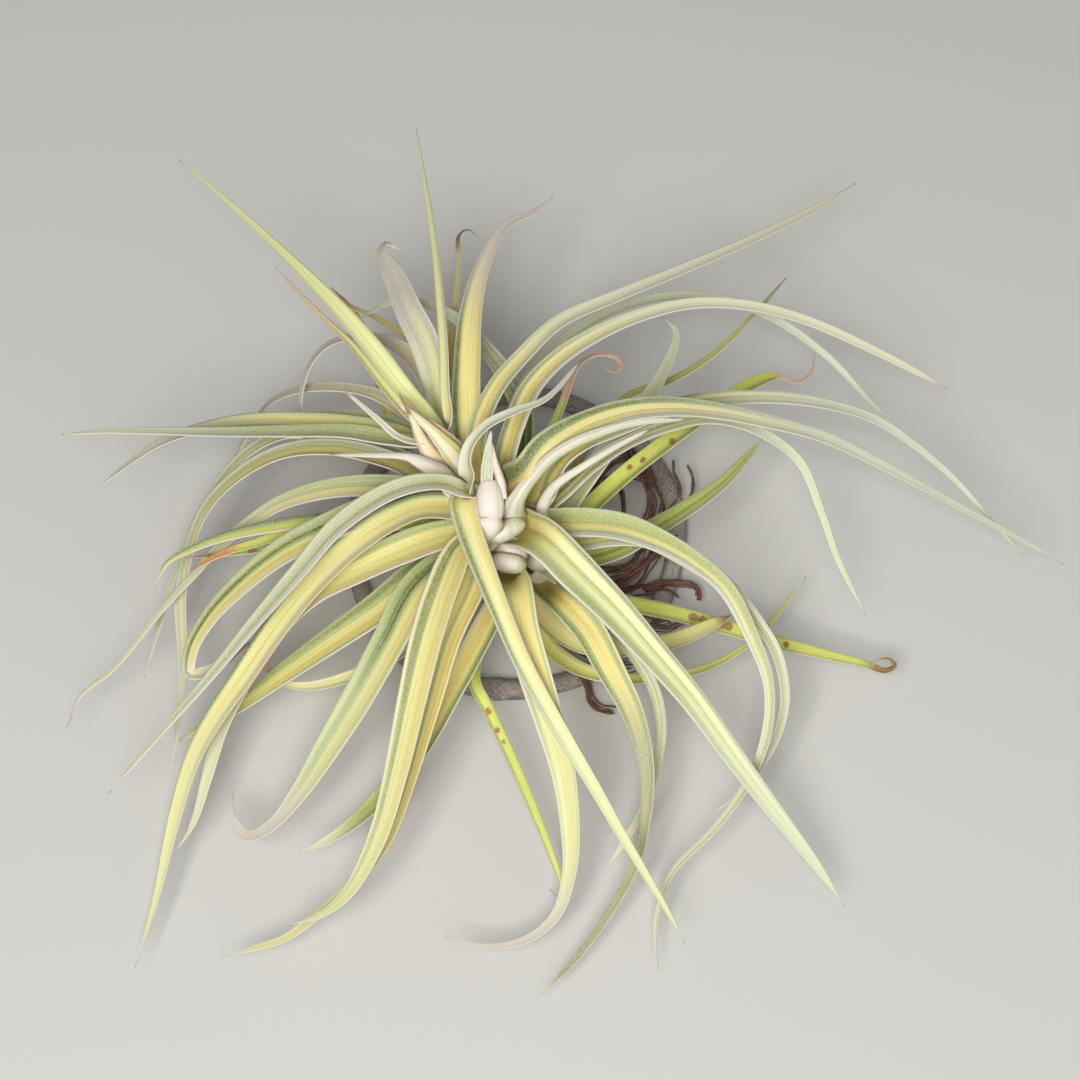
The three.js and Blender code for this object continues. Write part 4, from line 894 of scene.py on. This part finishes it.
# %% The bundles and their strands
BUNDLES = [
    (5, 0.62, 1.3, "24 12 26, 40 34 16, 48.3 42.7 11, 53 35.7 9, 57.7 29.4 8, 60.4 22.4 7, 61.2 16.2 7, "
     "60 9.2 8, 57.5 3 9"),
    (4, 0.6, 1.2, "26 10 24, 44 36 12, 51.5 37.3 9, 59.3 30.2 7, 62.8 24 6, 65.5 17.7 6, 65.1 11.5 6, "
     "63 5 7"),
    (2, 0.6, 0.8, "24 0 22, 50 28 9, 63.9 25.5 6, 67 19.3 5, 66.3 12.3 5, 65 6 6"),
    (3, 0.75, 0.9, "22 4 24, 36 26 14, 44 28 10, 48 22 8, 48.7 13.1 8, 47 4 9"),
    (1, 0.8, 0.0, "63 4 6, 70 14 8, 73.3 19.3 7, 74.1 22.4 7, 73.6 25.8 8, 71.6 30.2 9, 71.3 35.7 9"),
    (1, 0.8, 0.0, "66 2 6, 75 9 7, 79.4 20.1 7, 80.2 25.5 8, 79.6 29.6 9, 77.6 33.6 9"),
    (7, 0.6, 1.6, "14 -22 18, 26 -18 16, 38.2 -15 12, 46 -13.9 9, 53 -11.9 8, 56.5 -6.4 8, 58 -1 8"),
    (8, 0.65, 1.8, "14 -24 16, 30 -22 13, 42.1 -18.9 10, 51.5 -16.2 8, 60.8 -9.6 7, 67 -5.4 9, 71 -2 9"),
    (6, 0.6, 1.6, "12 -26 14, 30 -26 11, 44.4 -22.8 8, 51.5 -18.9 7, 56.9 -13.5 7, 62.4 -5.7 7, 66 2 7"),
    (6, 0.6, 1.6, "12 -28 12, 32 -27 10, 47.6 -23.9 7, 56 -21 7, 64.5 -19.7 9"),
    (3, 0.9, 0.7, "58 -22 7, 66 -19.5 9, 71.7 -19.3 9, 76.4 -19.3 8, 80.8 -20.4 8, 82.6 -23.6 8, "
     "82.4 -25.8 7"),
    (2, 0.7, 0.7, "60 -24 7, 66 -22 9, 70.2 -23.6 8, 73.7 -26 7"),
    (3, 0.42, 0.8, "46 -36 6, 56 -38.5 8, 62.4 -37.7 8, 67.1 -39.2 7, 71.7 -38.4 7, 76.4 -36.6 7"),
    (3, 0.42, 0.9, "46 -38 6, 57 -39 8, 63.9 -40.8 7, 70.2 -41.4 6, 74.9 -38.8 6"),
    (2, 0.42, 0.6, "56 -34 7, 64.7 -36.1 8, 68.6 -35.3 8, 70.2 -37.7 7, 66.3 -38.6 6"),
    (6, 0.75, 1.1, "8 -32 14, 14 -44 11, 22 -54 9, 30 -61 8, 33 -67 9, 34 -71.5 7, 38 -75.5 5, "
     "43.5 -76.8 4"),
    (5, 0.6, 1.6, "8 -34 13, 18 -42 11, 30 -50 8, 40 -56 8, 46 -58 9, 51 -58 6"),
    (6, 0.5, 2, "12 -30 12, 24 -34 10, 38 -38 8, 50 -42 8, 57 -44 9, 61 -43 6"),
]
NEAR_FOOT = 30  # a bundle that begins nearer than this to the plant's foot begins in it


def root_routes():
    """Bundles of routes: each strand follows its bundle's points with a seeded sway of its own.

    A bundle that begins near the plant's foot has its strands begin in the foot. None goes below the
    table.
    """
    draw = np.random.default_rng(11)
    start = stem_line("main")[0]
    for count, radius, spread, points in BUNDLES:
        middle = sight(rows_of(points))
        for _ in range(count):
            away = np.cumsum(draw.normal(0, 0.3, middle.shape), axis=0) + draw.normal(0, 0.8, 3)
            own = middle + away * spread
            if np.hypot(*middle[0, :2] - start[:2]) < NEAR_FOOT:
                own = np.vstack([start + draw.normal(0, 2.6, 3) * (1, 1, 0.6), own])
            path, _, along = route_through(own, 60)
            phase = draw.uniform(0, 6, 3)
            path = path + 0.3 * np.sin(along[:, None] * (0.23, 0.19, 0.27) + phase) * spread
            path[:, 2] = np.maximum(path[:, 2], 1.0)
            yield path, radius * draw.uniform(0.75, 1.3)


print("strands in all:", sum(bundle[0] for bundle in BUNDLES))

# %% Make the roots
STRAND_STEP = 1.2


def root_finish():
    """Dry root: red-brown with paler dusty ridges along it."""
    make = Finish("dry_root", Roughness=0.8)
    here = make.place()
    grain, cloud = make.noise(here, 1500.0, 3.0, 0.6), make.noise(here, 120.0, 2.0)
    tone = make.ramp(grain * 0.6 + cloud * 0.4,
                     [(0.3, colour("4a332b")), (0.5, colour("7b5b50")), (0.68, colour("a08073"))])
    return make.feed(Base_Color=tone, bump=(grain, 0.5, 0.0005))


strands = []
for points, radius in root_routes():
    rows = int(np.clip(np.linalg.norm(np.diff(points, axis=0), axis=1).sum() / STRAND_STEP, 16, 90))
    strands.append(strand(points, radius, rows))
piece("root_strands", "roots", strands, root_finish())
print("root strands:", len(strands))

# %% [markdown]
# ## The hearts
#
# In each heart the leaves are still folded and their pale bases clasp each other like the scales of a
# bulb. On the real plant there is no core: only leaf bases round a short stem. So each lower leaf gets
# a sheath of its own, a curved shell that hugs the stem below the place where its leaf leaves it.

# %% Sheaths round the stems
def stem_axes(stem):
    """A stem's base and rise, and two directions square to the rise and to each other."""
    base, rise = stem_line(stem)
    axis = rise / np.linalg.norm(rise)
    first = np.cross(axis, (0.0, 1.0, 0.0))
    first /= np.linalg.norm(first)
    return base, rise, first, np.cross(axis, first)


def sheath(stem, share, azimuth, layer, length=0.24, open_by=1.35):
    """A shell that hugs the stem: part of a turned surface, open_by radians to each side.

    Its rim is a rounded arch, highest in the middle, and it swells outward before the rim.
    """
    base, rise, first, second = stem_axes(stem)
    t = np.linspace(-1, 1, 17)
    s = np.linspace(0, 1, 14)[:, None]
    height = (share - length) * (1 - s) + (share - 0.10 * t ** 2) * s
    radius = evenly(STEMS[stem][2], height) + layer + 0.9 * np.sin(np.pi * s) - 0.3
    angle = azimuth + open_by * t * (1 - 0.25 * s)
    direction = first * np.cos(angle)[..., None] + second * np.sin(angle)[..., None]
    core = base + rise * height[..., None]
    outer, inner = core + direction * radius[..., None], core + direction * (radius - 0.7)[..., None]
    return np.concatenate([outer, inner[:, ::-1]], axis=1), t, s


def sheath_finish():
    """Pale leaf base: cream with a cloudy green cast, a pinkish line at its rim and silver grain."""
    make = Finish("pale_sheath", Roughness=0.55)
    rim, across = make.attribute("rim"), make.attribute("across")
    here = make.place()
    grain, cloud = make.noise(here, 2400.0, 2.0, 0.6), make.noise(here, 90.0, 2.0)
    thin = make.noise(make.vector(across * 12, rim * 0.6, 2.0), 2.0)
    tone = make.mix(cloud.step(0.35, 0.7), colour("efe3d2"), colour("e4ddb8"))
    tone = make.mix(thin.step(0.5, 0.7) * 0.3, tone, colour("c2c59a"))
    tone = make.mix(grain.step(0.5, 0.7) * 0.4, tone, colour("cfccc2"))
    tone = make.mix(rim.step(0.88, 0.99) * 0.6, tone, colour("b98f80"))
    return make.feed(Base_Color=tone, bump=(grain + thin, 0.3, 0.0005))


print("the main stem rises", np.round(stem_axes("main")[1], 1), "mm")

# %% Wrap the stems
SHEATHED_BELOW = {"main": 0.5, "pup": 0.95}  # how far up each stem its leaves have sheaths
pale = sheath_finish()
for stem, limit in SHEATHED_BELOW.items():
    base, rise, first, second = stem_axes(stem)
    own = [leaf for name, leaf in LEAVES.items() if name.startswith(stem) and leaf.foot and leaf.foot < limit]
    own.sort(key=lambda leaf: leaf.foot)
    shells, numbers = [], {"rim": [], "across": []}
    for number, leaf in enumerate(own):
        off = leaf.route[0] - (base + rise * leaf.foot)
        azimuth = np.arctan2(off @ second, off @ first)
        grid, t, s = sheath(stem, leaf.foot + 0.05, azimuth, 1.2 - 1.0 * number / len(own))
        shells.append(grid)
        edge = np.maximum(np.abs(t), s)
        numbers["rim"].append(np.concatenate([edge, edge[:, ::-1]], axis=1))
        numbers["across"].append(np.concatenate([t, t[::-1]]))
    piece(f"{stem}_sheaths", f"{stem}_bulb", shells, pale, numbers)
    print(stem, "sheaths:", len(own))

# %% [markdown]
# ## The young leaves and the backs of the folded ones
#
# In the middle of each heart a few short leaves still stand upright and folded, and the eye looks at
# the backs of others that turn away. They are grown as the others are, only narrower and deeper; a
# channel below zero bends the margins away from the eye, so that the blade shows its rounded back.

# %% Young leaves and backs
INNER = {
    "main_young_01": Leaf(None, "SsSgSsS", "3 4.8 5.2 3.6 2 0.9",
        "-12.6 22 98, -12.8 27 101, -12.3 33.5 104, -12 41.2 109, -10.7 49.5 113", channel=(0.3, 0.2),
        fade="silver", base=("cream", 0.1)),
    "main_young_02": Leaf(None, "rWSWr", "2 4 3.4 2.4 1",
        "-4.6 18.4 98, -6.7 27.2 101, -8.8 33.8 105, -11.2 45 110", channel=(-0.2, -0.2),
        base=("cream", 0.2)),
    "main_back_02": Leaf(None, "rsSWWWSWWWr", "11 13 11.6 7 1.4",
        "-12.2 10.4 98, -12 6.5 97, -12.6 2.6 93, -13.4 -1 87", channel=(-0.22, -0.28), fade="grey",
        base=("rose", 0.6, 0.09)),
    "main_back_03": Leaf(None, "rWSWsSWSgSssg", "9 14 9.6 6.6 5.6 5.2 5 4.8 4.6 4.2 3.6 2.8 2.4 2 1",
        "-3 3.8 78, -2.4 8.6 87, -1 14.2 95, 1.2 19 100, 4.4 24 103, 8.4 29 107, 15.2 36.4 113, "
        "25.6 43.2 117.5, 38 48.4 119, 48 51.4 118.5, 62 53.6 116.5, 76 54 113.5", channel=(-0.33, -0.15),
        fade="silver", base=("rose", 0.3, 0.1)),
    "main_back_04": Leaf(None, "WSSSWSSWSSS", "5 4.8 3.8 3.2 2.8 2.4 2 1",
        "13 7.6 78, 12 13 84, 14 19 89, 18.6 25 94, 29.8 32.6 99, 46 42.4 101.5, 60 49.6 102",
        channel=(-0.3, -0.15), fade="lavender", base=("cream", 0.2)),
    "main_back_05": Leaf(None, "gSgsg", "2.4 4.6 3",
        "-8.6 4.4 86, -9.6 -0.5 84, -11.8 -4.8 79", channel=(-0.3, -0.2)),
    "pup_young_01": Leaf(None, "WgcWWcgyg", "7 9 8.6 6.6 4.6 3.4 2.4 1",
        "-22 30 88, -25.4 35.6 92, -29.4 40.4 97, -36.6 48.4 102, -44.4 55.4 105, -53 61.8 107",
        channel=(-0.2, 0.1), base=("cream", 0.3)),
    "pup_young_02": Leaf(None, "rcWWpcr", "4 6 6.4 5 2.8 1.6 0.8",
        "-30 32 84, -34.5 35.5 90, -39 40 95, -42.3 45.5 99, -45.6 53 104, -52.4 66.4 109",
        base=("cream", 0.2), tip=("brown", 0.75)),
    "pup_young_03": Leaf(None, "rWWpWWpr", "6 9 8.6 6 2",
        "-23.6 34 87, -27.2 39.6 92, -32.3 45.4 97, -36.4 50 100, -40.6 54.6 102", fade=("pink", 0.4),
        base=("cream", 0.2), tip=("pink", 0.7), spots="-39.6 51.4 1.4, -36 49.6 1.5"),
    "pup_back_01": Leaf(None, "rWWWWWr", "5 7.5 7 3",
        "-33 38.5 91, -37 42 95, -41 46.5 98", channel=(-0.3, -0.3)),
}
for name, leaf in INNER.items():
    leaf.finish["deep"] = 0
    grow(name, name.split("_")[0] + "_bulb", leaf, rows=48, facing=-EYE_FORWARD)
print("young leaves and backs:", len(INNER))

# %% [markdown]
# ## The swollen leaf bases
#
# Below them the oldest bases bulge like the scales of an onion, each with its rim lying over the next
# one. Each is most of an egg that faces the eye, tilted and made a little square to fit its
# neighbours: x and y run over its outline, its depth follows from x² + y² + depth² = 1, and a low lip
# runs along its upper rim. Its entry gives its centre, half sizes, tilt, squareness and stripes.

# %% Swollen bases
# In main_base_01 and main_base_03 the g and G at the right end are painted shade on the side turned from the
# light.
BASES = {
    "main_base_01": ((-4.1, 4.3, 87.5), (9.1, 4.3), 26, 0.08, "gssSSSsSsgG"),
    "main_base_02": ((-1.8, -4.9, 73.5), (7.4, 3.9), -20, 0.1, "WvWSWvSvs"),
    "main_base_03": ((-2.8, -10.4, 76), (7.9, 4.4), -10, 0.08, "WSWWSWSSsgG"),
    "main_base_04": ((10.6, -9.4, 57), (5.6, 4.6), -10, 0.1, "WvWWvpWv"),
    "main_base_05": ((-11.3, 16.4, 97), (5.9, 10.2), 3, 0.06, "vvWWWWWWSWSv"),
}


def swelling(centre, half, tilt, square, depth=5.0, rows=26, columns=48):
    """Rings of an egg with the given half sizes, turned by tilt degrees as the eye sees it.

    square pushes its outline out between the axes, so that it is fuller than an ellipse.
    """
    turn, level = np.radians(tilt), np.array([1.0, 0, 0])
    side = np.cos(turn) * level + np.sin(turn) * EYE_UP
    rise = np.cos(turn) * EYE_UP - np.sin(turn) * level
    polar = np.linspace(np.radians(150), np.radians(3), rows)[:, None]
    round_it = np.linspace(0, 2 * np.pi, columns, endpoint=False)[None]
    x, y = np.sin(polar) * np.cos(round_it), np.sin(polar) * np.sin(round_it)
    fuller = 1 + square * 2 * (x * y) ** 2 / np.maximum((x ** 2 + y ** 2) ** 2, 1e-9)
    x, y = x * fuller, y * fuller
    lip = 1 + 0.05 * np.exp(-((y - 0.86) / 0.1) ** 2)
    grid = (side * (x * half[0] * lip)[..., None] + rise * (y * half[1] * lip)[..., None]
            - EYE_FORWARD * (np.cos(polar) * depth * lip)[..., None])
    return grid + sight([centre])[0], x, y


for name, (centre, half, tilt, square, letters) in BASES.items():
    grid, x, y = swelling(centre, half, tilt, square)
    numbers = {"across": [x * 0.8], "along": [(1 - y) * half[1]], "share": [(1 - y) / 2],
               "under": [0], "spot": [0]}
    finish = leaf_finish(letters, fade=("grey", 0.5, 0.6), base=("rose", 1.0, 0.2 if half[1] < 8 else 0.03),
                         bloom=0.5, deep=0)
    piece(name, "main_bulb", [grid], finish, numbers, ((x + 1) / 2, (y + 1) / 2))
print("swollen bases:", len(BASES))
